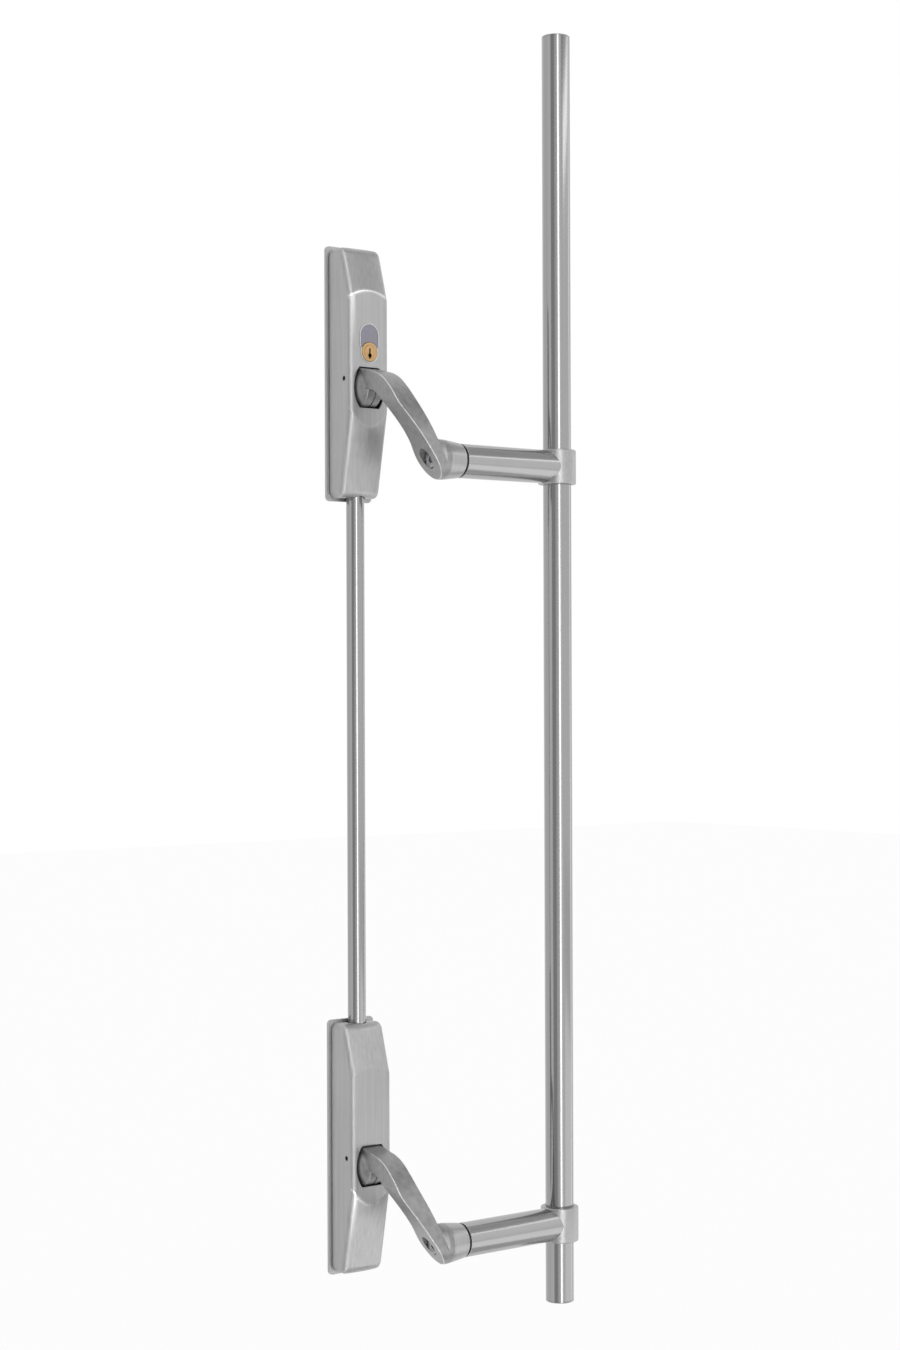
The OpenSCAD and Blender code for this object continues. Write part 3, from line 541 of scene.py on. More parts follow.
# %% Sizes of a lever
BARREL_R, BARREL_HALF = 18.5, 14.8
DOME_R, DOME_FLAT_R, DOME_BLEND = 25.0, 6.0, 1.2
HUB_R, HUB_FACE, HUB_DISC = 17.5, 38.6, 5.0
HUB_NECK = ((9.0, 4.0), (2.5, 1.6))
SWEEP_R, SWEEP_CENTRE, SWEEP_TURN = 87.808, (14.192, -64.5), 50
BEND_R, BEND_CENTRE, BEND_TURN = 48.0, (39.780, -34.006), 77
HUB_TURN = 210
ROOT = 27.0
ARM_INSIDE = ((69.2, -55.75), (71.2, -50.5), (72.2, -44.5), (71.6, -37.0), (69.6, -29.5), (66.6, -22.2),
              (63.6, -16.2), (60.2, -11.2), (56.2, -7.0), (51.0, -4.2), (45.0, -2.6), (ROOT, 0.5))
print("barrel", 2 * BARREL_HALF, "mm long, hub", 2 * HUB_R, "mm across")


# %% Lines of the arm's side view
def arc(centre, radius, start, end, steps):
    """Points of an arc, from one angle in degrees to another."""
    angles = [math.radians(start + (end - start) * i / steps) for i in range(steps + 1)]
    return [(centre[0] + radius * math.cos(a), centre[1] + radius * math.sin(a)) for a in angles]


def curve_through(points, steps=6):
    """A smooth line through a few points."""
    points = [Vector(p) for p in points]
    ends = [2 * points[0] - points[1], *points, 2 * points[-1] - points[-2]]
    line = []
    for a, b, c, d in zip(ends, ends[1:], ends[2:], ends[3:]):
        for i in range(steps):
            t = i / steps
            line.append(tuple(((2 * b) + (c - a) * t + (2 * a - 5 * b + 4 * c - d) * t * t
                               + (3 * b - a - 3 * c + d) * t ** 3) / 2))
    return line + [tuple(points[-1])]


# %% [markdown]
# Seen from the front, the arm leans to the right on its way to the hub. Each of its two sides is a plane
# that starts straight at the root and slants from a certain height on. The change is soft, as a pattern
# maker rounds it.

# %% The arm's two sides
ARM_LEFT, LEFT_SLOPE, LEFT_LEAN, LEFT_KNEE_Z, LEFT_KNEE_OUT, LEFT_BLEND = -10.3, 0.71, 0.18, -4.4, 35.0, 2.5
ARM_RIGHT, RIGHT_SLOPE, RIGHT_KNEE_Z, RIGHT_BLEND = 9.3, 0.457, -9.0, 3.0
RIGHT_LEAN, RIGHT_KNEE_OUT = 0.18, 81.0
ROOT_LEAN, ROOT_KNEE_OUT = 0.344, 40.0


def soft_ramp(value, softness):
    """The value where it is positive and nought where it is negative, with a soft change between."""
    return (value + math.hypot(value, softness)) / 2


def dome(distance):
    """Half length of the barrel's domed body at a distance from its axis."""
    flat = math.sqrt(DOME_R ** 2 - DOME_FLAT_R ** 2)
    return math.sqrt(max(0, DOME_R ** 2 - distance ** 2)) - flat + BARREL_HALF


def arm_left(out, z):
    """Place of the arm's left face, which leaves the barrel's dome in a soft line."""
    root = ARM_LEFT - soft_ramp(dome(math.hypot(out + PIVOT.y, z)) + ARM_LEFT, DOME_BLEND)
    return root + soft_ramp(LEFT_SLOPE * (LEFT_KNEE_Z - z) - LEFT_LEAN * (out - LEFT_KNEE_OUT), LEFT_BLEND)


def arm_right(out, z):
    """Place of the arm's right face."""
    slanted = RIGHT_SLOPE * (RIGHT_KNEE_Z - z)
    outer = slanted - RIGHT_LEAN * (out - RIGHT_KNEE_OUT)
    inner = slanted + ROOT_LEAN * (out - ROOT_KNEE_OUT)
    return ARM_RIGHT + soft_ramp(min(outer, inner), RIGHT_BLEND)


print("the arm is", round(arm_right(60, -30) - arm_left(60, -30), 1), "mm wide at its middle")

# %% The lever's arm
ARM_GRID = 3
ARM_SPANS = ((Y, -102, -ROOT), (Z, -82, 20))
ARC_STEPS, HUB_ARC_STEPS = 24, 48


def arm_outline():
    """The side view as (from the door, height) pairs: top of the root, bend, sweep, hub and inside curve."""
    turn = math.radians(BEND_TURN)
    bend_out = BEND_CENTRE[0] + BEND_R * math.cos(turn)
    bend_top = BEND_CENTRE[1] + BEND_R * math.sin(turn)
    root_top = bend_top + (bend_out - ROOT) / math.tan(turn)
    return [(ROOT, root_top), *arc(BEND_CENTRE, BEND_R, BEND_TURN, SWEEP_TURN, ARC_STEPS),
            *arc(SWEEP_CENTRE, SWEEP_R, SWEEP_TURN, 0, ARC_STEPS)[1:],
            *arc((-HUB.y, HUB.z), HUB_R, 0, -HUB_TURN, HUB_ARC_STEPS)[1:-1], *curve_through(ARM_INSIDE)]


def arm_blank():
    """The arm's side view made solid, cut into a grid, and each side pushed to its slanted face."""
    bm = bmesh.new()
    side = bm.faces.new([bm.verts.new((0, -out, z)) for out, z in arm_outline()])
    far = bmesh.ops.extrude_face_region(bm, geom=[side])["geom"]
    far = [v for v in far if isinstance(v, bmesh.types.BMVert)]
    bmesh.ops.translate(bm, vec=X, verts=far)
    for axis, low, high in ARM_SPANS:
        for i in range(1, int((high - low) / ARM_GRID)):
            halves(bm, axis * (low + ARM_GRID * i), axis)
    for vert in bm.verts:
        out, z = -vert.co.y, vert.co.z
        face = arm_right(out, z) if vert.co.x > 0.5 else min(arm_left(out, z), HUB_FACE - 1)
        vert.co.x = min(face, HUB_FACE)
    bmesh.ops.recalc_face_normals(bm, faces=bm.faces)
    return bm


arm = arm_blank()
print("arm blank", len(arm.faces), "faces")

# %% The barrel and the hub
DOME_STEPS = 12
MACHINED = 0.9


def barrel_blank():
    """The round root, with domed ends."""
    radii = [DOME_FLAT_R + (BARREL_R - DOME_FLAT_R) * i / DOME_STEPS for i in range(DOME_STEPS + 1)]
    side = [(dome(r), r) for r in radii]
    outline = [(-BARREL_HALF, 0), *[(-a, r) for a, r in side], *reversed(side), (BARREL_HALF, 0)]
    return turned(outline, X, PIVOT)


def hub_blank():
    """The hub's disc, with a narrower neck that runs into the arm, sliced by the arm's left face."""
    face, end = HUB_FACE - HUB_DISC, HUB_FACE + MACHINED
    neck = [(face - back, HUB_R - less) for back, less in HUB_NECK]
    bm = turned([(neck[0][0], 0), *neck, (face, HUB_R), (end, HUB_R), (end, 0)], X, HUB)
    halves(bm, (arm_left(-HUB.y, HUB.z), HUB.y, HUB.z), (1, -LEFT_LEAN, LEFT_SLOPE), clear_inner=True)
    return closed(bm)


# %% Melt the casting together
VOXEL = 0.42
MELT_ROUNDS = 3


def joined(*parts):
    """Several closed meshes in one."""
    bm = bmesh.new()
    for part in parts:
        mesh = mesh_from(part, "part")
        bm.from_mesh(mesh)
        bpy.data.meshes.remove(mesh)
    return bm


def melted(bm, voxel, rounds):
    """One skin around overlapping solids, with its edges rounded."""
    lump = loose("lump", bm)
    remesh = lump.modifiers.new("melt", "REMESH")
    remesh.mode = "VOXEL"
    remesh.voxel_size = voxel
    remesh.adaptivity = 0
    bm = applied(lump)
    for i in range(rounds):
        bmesh.ops.smooth_vert(bm, verts=bm.verts, factor=0.5, use_axis_x=True, use_axis_y=True,
                              use_axis_z=True)
    return bm


casting = melted(joined(arm, barrel_blank(), hub_blank()), VOXEL, MELT_ROUNDS)
print("casting", len(casting.faces), "faces")

# %% [markdown]
# A mill and a drill then give the casting its seats: a flat face on the hub, a recess and two bores, a slot
# for the slide behind the barrel, and a narrow groove round the barrel's underside.

# %% Tools for the casting
RECESS_R, RECESS_FLOOR = 8.3, 33.0
BUSH_R, HUB_BUSH_R = 6.0, 6.5
BLADE_HALF, CORE_R, BARREL_CUT = 3.8, 9.1, 2.0
GROOVE, GROOVE_DEPTH = (0.2, 1.3), 1.3
GROOVE_START, GROOVE_TURN, GROOVE_STEPS = -80, 128, 44
BORE_STEPS = 72
REACH, HUB_REACH = 20, 45


def blade_slot():
    """The slot for the slide on the barrel's door side, around the barrel's core."""
    high = BARREL_R + 1
    slot = block(Vector((-BLADE_HALF, PIVOT.y + BARREL_CUT, -high)), Vector((BLADE_HALF, 0, high)))
    core = [(-BARREL_HALF, 0), (-BARREL_HALF, CORE_R), (BARREL_HALF, CORE_R), (BARREL_HALF, 0)]
    return minus(slot, turned(core, X, PIVOT))


def barrel_groove():
    """A narrow groove round the barrel's underside, from the arm to the back."""
    bm = bmesh.new()
    low, high = GROOVE
    floor, rim = BARREL_R - GROOVE_DEPTH, BARREL_R + 1
    section = [bm.verts.new(PIVOT + X * x - Z * r) for x, r in
               ((low, floor), (high, floor), (high, rim), (low, rim))]
    face = bm.faces.new(section)
    start = Matrix.Rotation(math.radians(GROOVE_START), 3, "X")
    bmesh.ops.rotate(bm, cent=PIVOT, matrix=start, verts=section)
    bmesh.ops.spin(bm, geom=section + face.edges[:] + [face], cent=PIVOT, axis=X,
                   angle=math.radians(GROOVE_TURN), steps=GROOVE_STEPS)
    return closed(bm)


def bore(radius, start, end, centre):
    return turned([(start, 0), (start, radius), (end, radius), (end, 0)], X, centre, steps=BORE_STEPS)


# %% Machine the casting
FACE_LEFT = 0.1
halves(casting, (HUB_FACE + FACE_LEFT, 0, 0), X, clear_outer=True)
bmesh.ops.holes_fill(casting, edges=[e for e in casting.edges if e.is_boundary])
casting = minus(casting, bore(RECESS_R, -REACH, RECESS_FLOOR, HUB), bore(HUB_BUSH_R, REACH, HUB_REACH, HUB),
                bore(BUSH_R, -REACH, REACH, PIVOT), blade_slot(), barrel_groove())
lower_casting = moved(casting.copy(), STEP)
upper_lever = piece("upper_cast_lever", casting, "upper_lever", "lever", "upper_lever")
lower_lever = piece("lower_cast_lever", lower_casting, "lower_lever", "lever", "lower_lever")

# %% [markdown]
# The long crease between the arm's left face and its front is worn by hands, and it gets a painted highlight
# that stands in for the reflection of a bright strip, more so further from the door. A point stands proud of
# its neighbours there, so how far it stands proud says how much of the painted highlight it gets.

# %% Painted highlight of the levers
CREASE_WIDTH = 1.6
CREASE_NEAR, CREASE_FAR = 40.0, 58.0
BLUNT, SHARP = 0.03, 0.14


def proudness(vert):
    """How far a point stands out from its neighbours: 0 where the skin is blunt, 1 where it is sharp."""
    rise = [vert.normal.dot((vert.co - edge.other_vert(vert).co).normalized()) for edge in vert.link_edges]
    return max(0, min(1, (sum(rise) / len(rise) - BLUNT) / (SHARP - BLUNT)))


def paint_crease_highlight(lever, shift):
    bm = bmesh.new()
    bm.from_mesh(lever.data)
    bm.normal_update()
    # Painted highlight along the crease: a worn edge, and also the reflection of a bright strip painted in.
    shine = []
    for vert in bm.verts:
        p = vert.co / MM - shift
        beside = abs(p.x - arm_left(-p.y, p.z)) / CREASE_WIDTH
        best = 0
        if -p.y > CREASE_NEAR and beside < 2 and (p - HUB).yz.length > RECESS_R + 1:
            further = (-p.y - CREASE_NEAR) / (CREASE_FAR - CREASE_NEAR)
            best = proudness(vert) * min(1, further) * min(1, 2 - beside)
        shine.append(best)
    bm.free()
    write_painted_highlight(lever.data, shine)
    print(lever.name, "points with polish", sum(value > 0.3 for value in shine))


paint_crease_highlight(upper_lever, Vector())
paint_crease_highlight(lower_lever, STEP)

# %% [markdown]
# ## Bar, rod, rings and collars
# These are stock tube and lathe work, so they are spun from their outlines. The bar shows a long clean
# reflection, which a coarse cylinder would break into flats, so it gets many steps round.

# %% Bar and rod
BAR_R, TUBE_WALL = 12.7, 1.5
FINE_STEPS = 128
UPRIGHTS = (("bar_tube", "push_bar", "handle", BAR_R, Vector((BAR.x, BAR.y, 0)), 0.15),
            ("rod_tube", "connecting_rod", "linkage", ROD_R, Vector((0, -ROD_OUT, 0)), 0.3))


def tube(start, end, radius, bore, axis, centre, edge=0.0):
    """A tube along an axis, with rounded edges at its ends."""
    outline = [(start, radius), (end, radius), (end, bore), (start, bore)]
    return turned(outline, axis, centre, edge, FINE_STEPS)


for name, node, body, radius, axis_place, edge in UPRIGHTS:
    low, high = (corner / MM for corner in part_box(node))
    piece(name, tube(low.z, high.z, radius, radius - TUBE_WALL, Z, axis_place, edge), body, "tube", node)
for end in ("bar_top_cap", "bar_bottom_cap"):
    piece(end + "_turned", merged_copy(end, 0.25), "handle", "tube", end)

# %% [markdown]
# A standoff tube butts against its ring, and the joint shows as a fine curved line. The tube is cut with a
# cylinder a hair wider than the ring, which leaves that line. Two grub screws at the back of each ring hold
# it to the bar.

# %% Standoff tubes
TUBE_R, TUBE_BORE, TUBE_START, TUBE_EDGE = 15.0, 13.0, 59.1, 0.45
RING_R, RING_HALF, RING_EDGE, RING_EDGE_STEPS = 16.95, 15.5, 1.2, 5
SEAM, CORE_HALF = 0.12, 25


def standoff_tube(hub, centre):
    """The tube from a hub to the bar, cut to fit round the ring."""
    core = [(-CORE_HALF, 0), (-CORE_HALF, RING_R + SEAM), (CORE_HALF, RING_R + SEAM), (CORE_HALF, 0)]
    return minus(tube(TUBE_START, BAR.x, TUBE_R, TUBE_BORE, X, hub, TUBE_EDGE),
                 turned(core, Z, centre, steps=FINE_STEPS))


# %% Rings
BAR_FIT = 0.05
GRUB_R, GRUB_DEPTH = 2.5, 6


def bar_ring(centre):
    """The ring round the bar, with rounded rims outside and holes for its grub screws."""
    ring = tube(-RING_HALF, RING_HALF, RING_R, BAR_R + BAR_FIT, Z, centre)
    rims = [e for e in ring.edges if abs(e.verts[0].co.z - e.verts[1].co.z) < WELD and
            all((v.co.xy - centre.xy).length > (BAR_R + RING_R) / 2 for v in e.verts)]
    bmesh.ops.bevel(ring, geom=rims, offset=RING_EDGE, offset_type="OFFSET", segments=RING_EDGE_STEPS,
                    profile=0.5, affect="EDGES", material=-1)
    grub_places = [centre + Z * RING_HALF / 2 * sign for sign in (-1, 1)]
    return minus(ring, *[hole_cutter(Y, place, GRUB_R, RING_R, GRUB_DEPTH) for place in grub_places])


# %% The pieces between a hub and the bar
COLLAR_BORE = ((55.7, 0), (55.7, 4.0), (38.8, 4.0))
COLLAR = ((38.8, 17.2), (39.0, 17.4), (40.6, 17.4), (54.6, 15.65), (56.5, 15.3), (57.1, 14.7),
          (57.1, 10.5), (61.0, 10.5), (61.0, 13.0), (79.7, 13.0), (79.7, 0))
for side, step in CASES:
    hub = HUB + step
    centre = Vector((BAR.x, BAR.y, hub.z))
    collar = turned([*COLLAR_BORE, *COLLAR], X, hub, 0.2)
    piece(side + "_standoff", standoff_tube(hub, centre), "handle", "tube", side + "_standoff_tube")
    piece(side + "_collar", collar, "handle", "collar", side + "_standoff_end")
    piece(side + "_ring", bar_ring(centre), "handle", "ring", side + "_bar_ring")

# %% [markdown]
# ## Small pieces
# The base plates, screw heads, washers and the parts around the lock keep the model's shapes. Their copies
# only get the fine rounded edges that catch the light.

# %% Rounded copies of the model's pieces
PAIRED = (("base_plate", "cases", 0.4), ("hub_screw", "handle", 0.3), ("hub_washer", "handle", 0.15),
          ("hub_bush", "lever", 0.15), ("pivot_pin", "cases", 0.15), ("cover_screws", "cases", 0.12),
          ("ring_screws", "handle", 0.15))
SINGLE = (("key_cylinder", "cases", 0.25), ("indicator_plate", "cases", 0.08),
          ("indicator_rim", "cases", 0.2))
slots = {part["node"]: part["material_slot"] for part in frame["record"]["subparts"]}


def rounded(node, body, width):
    piece(node + "_rounded", merged_copy(node, width), body, slots[node], node)


for side, step in CASES:
    for kind, body, width in PAIRED:
        rounded(f"{side}_{kind}", f"{side}_lever" if body == "lever" else body, width)
for node, body, width in SINGLE:
    rounded(node, body, width)

# %% [markdown]
# The return spring stands on the upper slide, which rises into it as the bar is pushed. Its copy keeps the
# model's shape, in a mesh of its own.

# %% The return spring
coil = piece("return_spring_coil", merged_copy("return_spring"), "cases", slots["return_spring"],
             "return_spring")
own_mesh(coil)

# %% [markdown]
# The key's way in is a narrow slot that widens to a round part near its lower end. Both are cut into the
# plug.

# %% The lock's plug
PLUG_R, PLUG_TAIL_R, PLUG_TAIL = 5.8, 3.0, 0.9
WAY_HALF, WAY_HIGH, WAY_DROP, WAY_DEPTH = 0.75, 8.6, 1.3, 14.0
WAY_R, WAY_R_DROP, WAY_STEPS = 1.9, 3.1, 32
plug_low, plug_high = (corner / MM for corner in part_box("key_plug"))
front, back = -plug_low.y, -plug_high.y
middle = Z * KEY_UP
shoulder = back + PLUG_TAIL
plug = turned([(back, 0), (back, PLUG_TAIL_R), (shoulder, PLUG_TAIL_R), (shoulder, PLUG_R), (front, PLUG_R),
               (front, 0)], -Y, middle, 0.15)
way_half = Vector((WAY_HALF, WAY_DEPTH, WAY_HIGH / 2))
way_middle = middle - Y * front - Z * WAY_DROP
slot_part = block(way_middle - way_half, way_middle + way_half)
round_part = turned([(front - WAY_DEPTH, 0), (front - WAY_DEPTH, WAY_R), (front + 1, WAY_R), (front + 1, 0)],
                    -Y, middle - Z * WAY_R_DROP, steps=WAY_STEPS)
piece("lock_plug", minus(plug, slot_part, round_part), "key_barrel", "brass", "key_plug")

# %% [markdown]
# ## Materials
# Every finish is steel or brass with its own grain. What several finishes share is a node group: the grain,
# the cloudy unevenness of handled metal, and the painted highlight that was written on the points of a mesh.
# A group is built once, and each material places it with its own values.

# %% Tools for nodes
def new_group(name, inputs, outputs):
    """An empty node group with named inputs and outputs."""
    tree = bpy.data.node_groups.new(name, "ShaderNodeTree")
    for label, kind, default in inputs:
        socket = tree.interface.new_socket(name=label, in_out="INPUT", socket_type=kind)
        if default is not None:
            socket.default_value = default
    for label, kind in outputs:
        tree.interface.new_socket(name=label, in_out="OUTPUT", socket_type=kind)
    return tree, tree.nodes.new("NodeGroupInput"), tree.nodes.new("NodeGroupOutput")


def noise_node(tree, vector, scale, detail, rough):
    node = tree.nodes.new("ShaderNodeTexNoise")
    node.inputs["Scale"].default_value = scale
    node.inputs["Detail"].default_value = detail
    node.inputs["Roughness"].default_value = rough
    tree.links.new(vector, node.inputs["Vector"])
    return node.outputs["Fac"]


def math_node(tree, operation, a, b, clamp=False):
    """Reckons with two numbers or sockets."""
    node = tree.nodes.new("ShaderNodeMath")
    node.operation = operation
    node.use_clamp = clamp
    for socket, value in zip(node.inputs, (a, b)):
        if isinstance(value, (int, float)):
            socket.default_value = value
        else:
            tree.links.new(value, socket)
    return node.outputs[0]


def blend(tree, a, b, share):
    """A share of one value and the rest of the other."""
    return math_node(tree, "ADD", math_node(tree, "MULTIPLY", a, share),
                     math_node(tree, "MULTIPLY", b, 1 - share))


# %% Node groups for the finishes
FINE_SCALE, BROAD_SCALE, CLOUD_SCALE = 1.0, 0.23, 28.0
FINE_SHARE = 0.6


def grain_group():
    """Fine and coarse noise of one stretched place, mixed to a height and a mask around a half."""
    tree, start, end = new_group("metal_grain", [("Place", "NodeSocketVector", None)],
                                 [("Height", "NodeSocketFloat"), ("Mask", "NodeSocketFloat")])
    fine = noise_node(tree, start.outputs["Place"], FINE_SCALE, detail=3.0, rough=0.6)
    broad = noise_node(tree, start.outputs["Place"], BROAD_SCALE, detail=2.0, rough=0.5)
    tree.links.new(blend(tree, fine, broad, FINE_SHARE), end.inputs["Height"])
    tree.links.new(broad, end.inputs["Mask"])
    return tree


def handling_group():
    """Soft clouds of a few centimetres, as hands and cloths leave on metal."""
    tree, start, end = new_group("handled_clouds", [("Place", "NodeSocketVector", None)],
                                 [("Mask", "NodeSocketFloat")])
    clouds = noise_node(tree, start.outputs["Place"], CLOUD_SCALE, detail=3.0, rough=0.55)
    tree.links.new(clouds, end.inputs["Mask"])
    return tree


def painted_highlight_group():
    """A painted highlight: it reads what was written on the points of the mesh."""
    tree, start, end = new_group("polished_edges", [("Amount", "NodeSocketFloat", 1.0)],
                                 [("Mask", "NodeSocketFloat")])
    written = tree.nodes.new("ShaderNodeAttribute")
    written.attribute_name = "polished"
    mask = math_node(tree, "MULTIPLY", written.outputs["Fac"], start.outputs["Amount"])
    tree.links.new(mask, end.inputs["Mask"])
    return tree


GRAIN, CLOUDS, HIGHLIGHT_GROUP = grain_group(), handling_group(), painted_highlight_group()
print("groups:", GRAIN.name, CLOUDS.name, HIGHLIGHT_GROUP.name)

# %% [markdown]
# A metal is one shader with four things on it. The grain and the clouds together change its roughness and
# its shade a little, the grain also gives a fine bump, and the painted highlight makes it paler and smoother.
# The grain is stretched by a Mapping node: large numbers lie across the brush lines, and small ones along
# them.

# %% Steps in making a metal
# Colour that the painted highlight mixes in.
HIGHLIGHT_COLOUR = (0.95, 0.95, 0.95, 1)
GRAIN_SHARE = 0.7
ROUGH_GAIN, SHADE_GAIN = 4.0, 3.0


def placed(tree, group, socket, value):
    """A group in a material, with its one input linked or set."""
    node = tree.nodes.new("ShaderNodeGroup")
    node.node_tree = group
    if isinstance(value, float):
        node.inputs[socket].default_value = value
    else:
        tree.links.new(value, node.inputs[socket])
    return node


def mix_colours(tree, factor, a, b):
    """A colour between two colours or sockets."""
    node = tree.nodes.new("ShaderNodeMix")
    node.data_type = "RGBA"
    tree.links.new(factor, node.inputs["Factor"])
    for label, colour in (("A", a), ("B", b)):
        if isinstance(colour, tuple):
            node.inputs[label].default_value = colour
        else:
            tree.links.new(colour, node.inputs[label])
    return node.outputs["Result"]


# %% A metal with a grain
def metal(name, colour, roughness, stretch, grain_bump, rough_change=0.08, shade_change=0.06, metallic=1.0,
          highlight_amount=0.0, brushed=0.0):
    """A metal with its grain stretched along the brush lines, with a painted highlight where its points say
    so.
    """
    material = bpy.data.materials.new(name)
    material.use_nodes = True
    tree = material.node_tree
    shader = tree.nodes["Principled BSDF"]
    shader.inputs["Metallic"].default_value = metallic
    shader.inputs["Anisotropic"].default_value = brushed
    place = tree.nodes.new("ShaderNodeTexCoord").outputs["Object"]
    mapping = tree.nodes.new("ShaderNodeMapping")
    mapping.inputs["Scale"].default_value = stretch
    tree.links.new(place, mapping.inputs["Vector"])
    grain = placed(tree, GRAIN, "Place", mapping.outputs["Vector"])
    clouds = placed(tree, CLOUDS, "Place", place)
    change = blend(tree, grain.outputs["Mask"], clouds.outputs["Mask"], GRAIN_SHARE)
    change = math_node(tree, "SUBTRACT", change, 0.5)
    rough = math_node(tree, "MULTIPLY", change, ROUGH_GAIN * rough_change)
    rough = math_node(tree, "ADD", rough, roughness, clamp=True)
    level = math_node(tree, "ADD", math_node(tree, "MULTIPLY", change, SHADE_GAIN), 0.5, clamp=True)
    dark, light = (tuple(c * (1 + sign * shade_change) for c in colour) + (1,) for sign in (-1, 1))
    shown = mix_colours(tree, level, dark, light)
    # Painted highlight: paler colour and less roughness where the written mask says.
    if highlight_amount:
        mask = placed(tree, HIGHLIGHT_GROUP, "Amount", highlight_amount).outputs["Mask"]
        shown = mix_colours(tree, mask, shown, HIGHLIGHT_COLOUR)
        rough = math_node(tree, "SUBTRACT", rough, math_node(tree, "MULTIPLY", mask, roughness / 2))
    tree.links.new(shown, shader.inputs["Base Color"])
    tree.links.new(rough, shader.inputs["Roughness"])
    bump = tree.nodes.new("ShaderNodeBump")
    bump.inputs["Strength"].default_value = 1.0
    bump.inputs["Distance"].default_value = grain_bump * MM
    tree.links.new(grain.outputs["Height"], bump.inputs["Height"])
    tree.links.new(bump.outputs["Normal"], shader.inputs["Normal"])
    return material


# %% [markdown]
# Plates and covers are brushed along their height, the tubes were drawn along their length, collars and
# pins were turned, and the levers are blasted, which leaves fine speckles. Screws are zinc plated or
# blackened.

# %% The finishes
ALONG_Z, AROUND_X, DRAWN_Z, DRAWN_X = (2200, 2200, 40), (2600, 60, 60), (900, 900, 5), (5, 900, 900)
EVEN, SPECKLED = (1400, 1400, 1400), (850, 850, 850)
FINISHES = {
    "plate": metal("satin_plate", (0.44, 0.44, 0.44), 0.42, ALONG_Z, 0.008,
                   rough_change=0.04, shade_change=0.05, metallic=0.9),
    # The covers and the casting carry the painted highlight written on their points.
    "cover": metal("brushed_cover", (0.43, 0.43, 0.43), 0.36, ALONG_Z, 0.008,
                   rough_change=0.05, shade_change=0.09, metallic=0.9, highlight_amount=1.0, brushed=0.8),
    "lever": metal("blasted_casting", (0.31, 0.31, 0.31), 0.38, SPECKLED, 0.050,
                   shade_change=0.14, metallic=0.8, highlight_amount=0.9),
    "collar": metal("turned_collar", (0.40, 0.40, 0.40), 0.34, AROUND_X, 0.010),
    "tube": metal("brushed_tube", (0.355, 0.355, 0.357), 0.14, DRAWN_Z, 0.0001,
                  rough_change=0.004, shade_change=0.02),
    "cross_tube": metal("brushed_cross_tube", (0.405, 0.405, 0.405), 0.20, DRAWN_X, 0.002,
                        rough_change=0.03, shade_change=0.05),
    "ring": metal("satin_ring", (0.40, 0.40, 0.40), 0.38, EVEN, 0.012),
    "brass": metal("turned_brass", (0.53, 0.34, 0.165), 0.32, EVEN, 0.015),
    "bronze": metal("plain_bronze", (0.42, 0.26, 0.12), 0.38, EVEN, 0.015),
    "indicator": metal("lilac_plate", (0.30, 0.29, 0.34), 0.50, EVEN, 0.015,
                       rough_change=0.05, shade_change=0.04, metallic=0.35),
    "rim": metal("polished_rim", (0.60, 0.60, 0.60), 0.22, EVEN, 0.006),
    "zinc": metal("zinc_plated", (0.34, 0.35, 0.37), 0.36, EVEN, 0.015),
    "pin": metal("ground_pin", (0.40, 0.40, 0.41), 0.26, AROUND_X, 0.006),
    "black_steel": metal("black_oxide", (0.035, 0.035, 0.035), 0.42, EVEN, 0.015),
    "spring": metal("spring_wire", (0.36, 0.36, 0.38), 0.30, EVEN, 0.006),
}
print(len(FINISHES), "finishes")

# %% Give each piece its finish
CROSSWISE = ("upper_standoff", "lower_standoff")
finished = 0
for obj in list(bpy.context.scene.objects):
    slot = obj.get("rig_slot") or slots.get(obj.name)
    if obj.type != "MESH" or slot is None:
        continue
    obj.data.materials.clear()
    obj.data.materials.append(FINISHES["cross_tube" if obj.name in CROSSWISE else slot])
    finished += 1
print(finished, "pieces have a finish")

# %% [markdown]
# ## Floor and light
# Bare metal shows what stands around it more than it shows lamps, so the light is built from what the steel
# mirrors: a white room, dark cards and bright strips, as a studio hangs them around cutlery. The room is
# full white where the camera or a mirror looks at it, and gives matt surfaces a little less light.

# %% White room
AMBIENT = 0.85


def seen_or_mirrored(tree):
    """One where the camera, a mirror or a glass shows the surface, and nought where it only gives light."""
    rays = tree.nodes.new("ShaderNodeLightPath").outputs
    through = math_node(tree, "MAXIMUM", rays["Is Glossy Ray"], rays["Is Transmission Ray"])
    return math_node(tree, "MAXIMUM", rays["Is Camera Ray"], through)


world = bpy.data.worlds.new("white_room")
bpy.context.scene.world = world
world.use_nodes = True
tree = world.node_tree
background = tree.nodes["Background"]
extra = math_node(tree, "MULTIPLY", seen_or_mirrored(tree), 1 - AMBIENT)
background.inputs["Color"].default_value = (1, 1, 1, 1)
tree.links.new(math_node(tree, "ADD", extra, AMBIENT), background.inputs["Strength"])
print("the room lights with", AMBIENT, "of white")

# %% [markdown]
# The floor is pale paper a little below the bar's foot. It is nearly white where the camera looks straight
# at it, but keeps the shadow that falls on it. Reflections pass through it, because it would hide the cards
# from the lower half of the bar, whose bright line has to run down to its end.

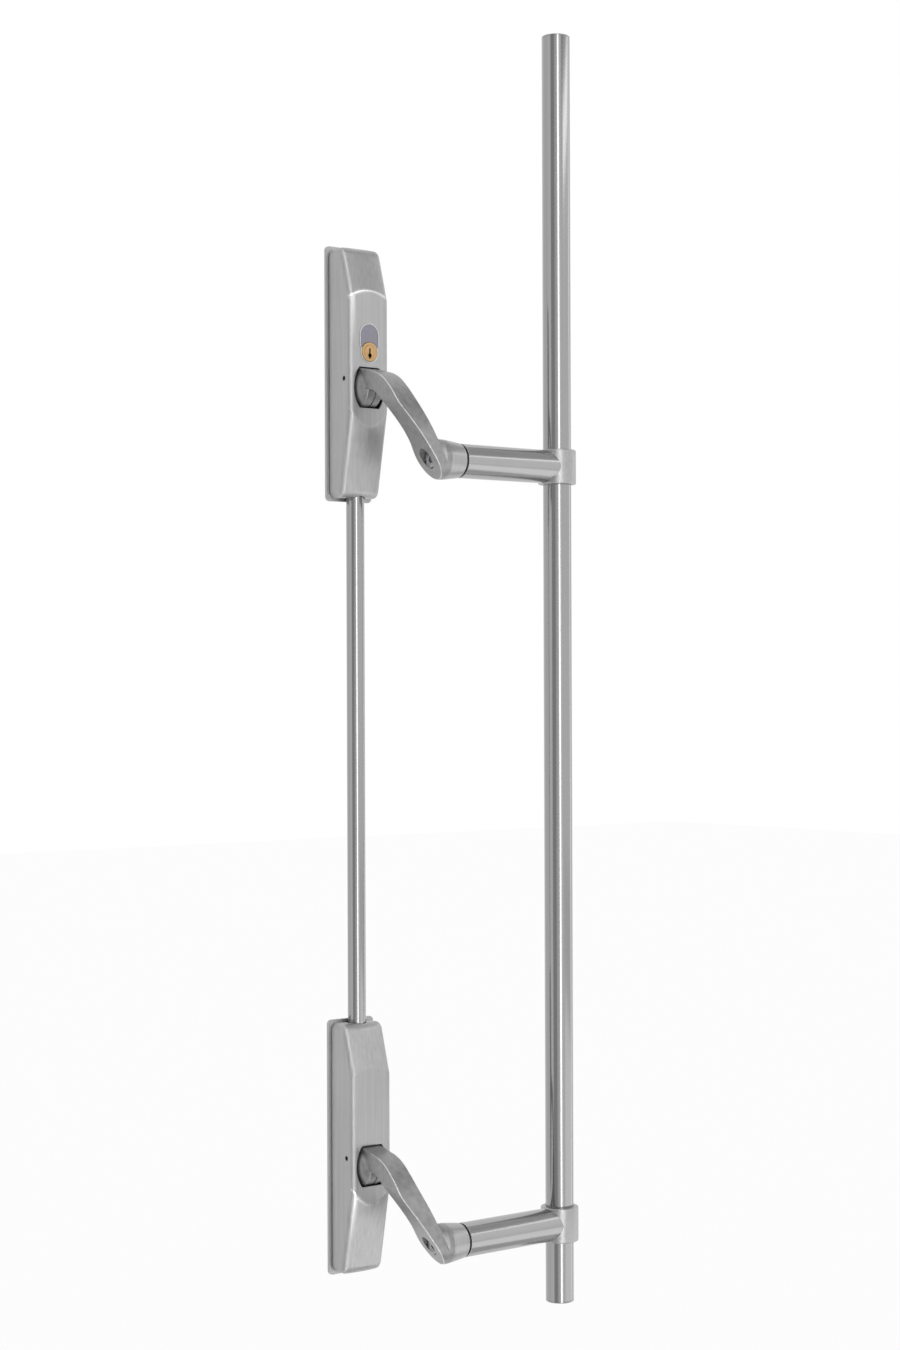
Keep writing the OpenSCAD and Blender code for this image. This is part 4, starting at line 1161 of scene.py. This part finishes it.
# %% Floor
FLOOR_DROP, FLOOR_SIZE = 20.0, 12000.0
PAPER, PAPER_ROUGHNESS, WHITENESS = (0.82, 0.82, 0.82, 1), 0.9, 0.93
floor_mesh = bmesh.new()
bmesh.ops.create_grid(floor_mesh, x_segments=8, y_segments=8, size=FLOOR_SIZE / 2)
moved(floor_mesh, Z * (cad_box[0][2] / MM - FLOOR_DROP))
floor = bpy.data.objects.new("floor", mesh_from(floor_mesh, "floor", MM))
bpy.context.scene.collection.objects.link(floor)
floor.visible_glossy = False
paper = bpy.data.materials.new("pale_paper")
paper.use_nodes = True
floor.data.materials.append(paper)
tree = paper.node_tree
shader = tree.nodes["Principled BSDF"]
shader.inputs["Base Color"].default_value = PAPER
shader.inputs["Roughness"].default_value = PAPER_ROUGHNESS
shader.inputs["Specular IOR Level"].default_value = 0.0
white, mix = (tree.nodes.new(kind) for kind in ("ShaderNodeEmission", "ShaderNodeMixShader"))
tree.links.new(math_node(tree, "MULTIPLY", seen_or_mirrored(tree), WHITENESS), mix.inputs["Fac"])
tree.links.new(shader.outputs["BSDF"], mix.inputs[1])
tree.links.new(white.outputs["Emission"], mix.inputs[2])
tree.links.new(mix.outputs["Shader"], tree.nodes["Material Output"].inputs["Surface"])
print("floor at", round(cad_box[0][2] / MM - FLOOR_DROP, 1), "mm")

# %% [markdown]
# A card is a patch of a large ball round the object, spun from an arc. Only reflections see it, so it
# lights nothing and throws no shadow. Turn counts from the door's front towards the left and tilt counts
# upwards, in degrees. Each card stands where its reflection has to fall, and a strip that lies over a card
# hangs nearer.

# %% Cards and strips
CARD_DISTANCE, CARD_NEARER, CARD_STEPS = 4000.0, 3700.0, 12
CARD_CENTRE = Vector((80, -60, -300))


def glowing(name, level):
    """A material that only gives light, which isn't looked for from other surfaces."""
    material = bpy.data.materials.new(name)
    material.use_nodes = True
    tree = material.node_tree
    tree.nodes.clear()
    glow, output = (tree.nodes.new(kind) for kind in ("ShaderNodeEmission", "ShaderNodeOutputMaterial"))
    glow.inputs["Strength"].default_value = level
    tree.links.new(glow.outputs["Emission"], output.inputs["Surface"])
    material.cycles.emission_sampling = "NONE"
    return material


def card(name, turn, width, tilt, height, level, distance=CARD_DISTANCE):
    bm = bmesh.new()
    line = []
    for i in range(CARD_STEPS + 1):
        angle = math.radians(tilt + height * (i / CARD_STEPS - 0.5))
        line.append(bm.verts.new(CARD_CENTRE + distance * Vector((0, -math.cos(angle), math.sin(angle)))))
    edges = [bm.edges.new(pair) for pair in zip(line, line[1:])]
    start = Matrix.Rotation(math.radians(-turn + width / 2), 3, "Z")
    bmesh.ops.rotate(bm, cent=CARD_CENTRE, matrix=start, verts=line)
    bmesh.ops.spin(bm, geom=line + edges, cent=CARD_CENTRE, axis=Z, angle=math.radians(-width),
                   steps=CARD_STEPS)
    obj = bpy.data.objects.new(name, mesh_from(bm, name, MM))
    bpy.context.scene.collection.objects.link(obj)
    obj.data.materials.append(glowing(name, level))
    obj.visible_camera = obj.visible_diffuse = obj.visible_shadow = obj.visible_transmission = False


# %% Hang the cards
CARDS = (  # name, turn, width, tilt, height, level
    ("dark_card", 70, 32, 0, 140, 0.47),
    ("grey_card", 46, 16, 0, 140, 0.80),
    ("bright_strip", 21.5, 10, 0, 140, 4.2),
    ("soft_strip", 10.5, 12, 0, 140, 1.2),
    ("edge_strip", -80, 8, 0, 80, 1.9, CARD_NEARER),
    ("back_left", 142, 50, 0, 140, 0.93),
    ("front_right", -38, 60, 9, 36, 1.04),
    ("strip_high", -44, 50, 30, 4, 2.4, CARD_NEARER),
    ("right_dip", -38, 60, -13, 8, 0.88),
    ("right_low", -42, 60, -31.5, 29, 1.32),
    ("right_high", -45, 76, 53, 40, 0.55),
    ("right_foot", -45, 76, -61, 30, 0.64),
)
for row in CARDS:
    card(*row)
print(len(CARDS), "cards hang round the object")
